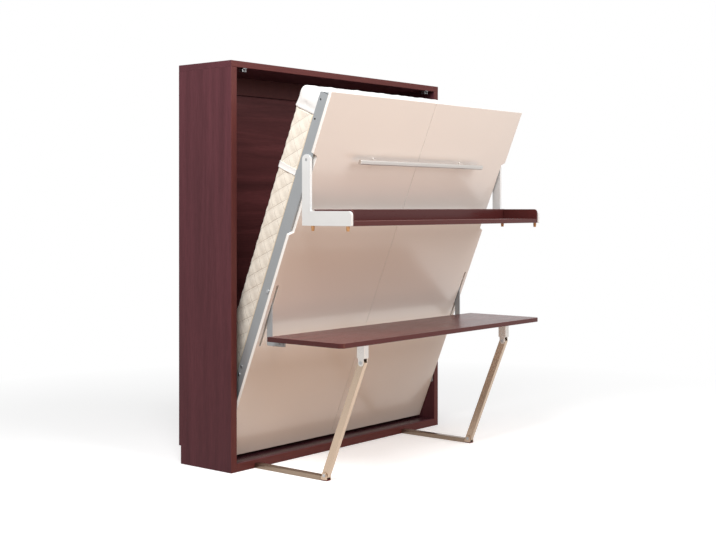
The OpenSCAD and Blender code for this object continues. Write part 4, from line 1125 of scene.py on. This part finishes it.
class WALLBED_OT_fittings(bpy.types.Operator):
    """Zinc, chrome, rubber and plastic of the small parts"""

    bl_idname = "wall_bed.fittings"
    bl_label = "Fittings"

    def execute(self, context):
        given = context.scene.bed_metal
        zinc = brushed_material("zinc", given.fitting, ALONG_Z, 0.36)
        finish_slot("fitting_steel", SMALL_EASE, zinc)
        finish_slot("rod_chrome", SMALL_EASE, brushed_material("rod_chrome", CHROME, ALONG_Z, 0.12))
        moulded = {
            "stop_rubber": (STOP_BLACK, 0.75), "foot_rubber": (FOOT_BROWN, 0.62),
            "glide_plastic": (GLIDE_RED, 0.45),
        }
        for slot, look in moulded.items():
            finish_slot(slot, SMALL_EASE, plain_material(slot, *look))
        panel_nails(zinc)
        desk_screws(zinc)
        return {"FINISHED"}


class WALLBED_OT_mattress(bpy.types.Operator):
    """Quilted mattress with its piping"""

    bl_idname = "wall_bed.mattress"
    bl_label = "Mattress"

    def execute(self, context):
        given = context.scene.bed_bedding
        ticking = cloth_material("ticking", given.ticking, 0.0016, given.quilt)
        quilted_mattress(given, ticking)
        cord = cloth_material("piping_cloth", given.cord, 0.0011)
        piping = tube("mattress_piping", piping_path(), given.piping, PIPING_SIDES)
        dress(piping, cord, "bed")
        return {"FINISHED"}


class WALLBED_OT_cover(bpy.types.Operator):
    """White end cover of the mattress, with its stitched hem"""

    bl_idname = "wall_bed.cover"
    bl_label = "End cover"

    def execute(self, context):
        given = context.scene.bed_bedding
        cotton = cloth_material("cotton", given.cotton, 0.0012)
        made = end_cover(cotton)
        thread = plain_material("thread", given.cotton, 0.7)
        low = bed_size("mattress_cover")[0].z
        for k, share in enumerate((0.3, 0.75)):
            points, out = ring_at("mattress_cover", low + HEM * share)
            path = on_skin(made, points, out)
            sew(f"cover_hem_stitches_{k + 1}", path, thread, given.stitch, closed=True)
        return {"FINISHED"}


class WALLBED_OT_strap(bpy.types.Operator):
    """Webbing strap over the mattress, with its stitched ends"""

    bl_idname = "wall_bed.strap"
    bl_label = "Strap"

    def execute(self, context):
        given = context.scene.bed_bedding
        webbing = cloth_material("webbing", given.webbing, 0.0030)
        thread = plain_material("strap_thread", given.cotton, 0.7)
        strap_stitches(*strap_band(webbing), thread, given.stitch * 0.6)
        return {"FINISHED"}


class WALLBED_OT_stage(bpy.types.Operator):
    """Pale floor, soft light and the camera at the picture's angle"""

    bl_idname = "wall_bed.stage"
    bl_label = "Stage"

    def execute(self, context):
        given = context.scene.bed_stage
        scene = context.scene
        scene.view_settings.view_transform = "Standard"
        stage_floor(given)
        stage_world(given)
        for name, lit in LAMPS.items():
            lamp(name, *lit, getattr(given, name))
        stage_camera(given)
        return {"FINISHED"}


class WALLBED_PT_finish(bpy.types.Panel):
    bl_idname = "WALLBED_PT_finish"
    bl_label = "Wall Bed"
    bl_space_type = "VIEW_3D"
    bl_region_type = "UI"
    bl_category = "Wall Bed"

    def draw(self, context):
        for name, group in SETTINGS.items():
            box = self.layout.box()
            for field in group.__annotations__:
                box.prop(getattr(context.scene, name), field)
        for operator in OPERATORS:
            self.layout.operator(operator.bl_idname)


OPERATORS = (
    WALLBED_OT_boards, WALLBED_OT_panels, WALLBED_OT_frame, WALLBED_OT_metal, WALLBED_OT_fittings,
    WALLBED_OT_mattress, WALLBED_OT_cover, WALLBED_OT_strap, WALLBED_OT_stage,
)


def register():
    for group in (*SETTINGS.values(), *OPERATORS, WALLBED_PT_finish):
        bpy.utils.register_class(group)
    for name, group in SETTINGS.items():
        setattr(bpy.types.Scene, name, PointerProperty(type=group))


def unregister():
    for name in SETTINGS:
        delattr(bpy.types.Scene, name)
    for group in (WALLBED_PT_finish, *reversed(OPERATORS), *SETTINGS.values()):
        bpy.utils.unregister_class(group)


def main():
    register()
    for operator in OPERATORS:
        family, name = operator.bl_idname.split(".")
        getattr(getattr(bpy.ops, family), name)()
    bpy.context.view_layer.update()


if __name__ == "__main__":
    main()
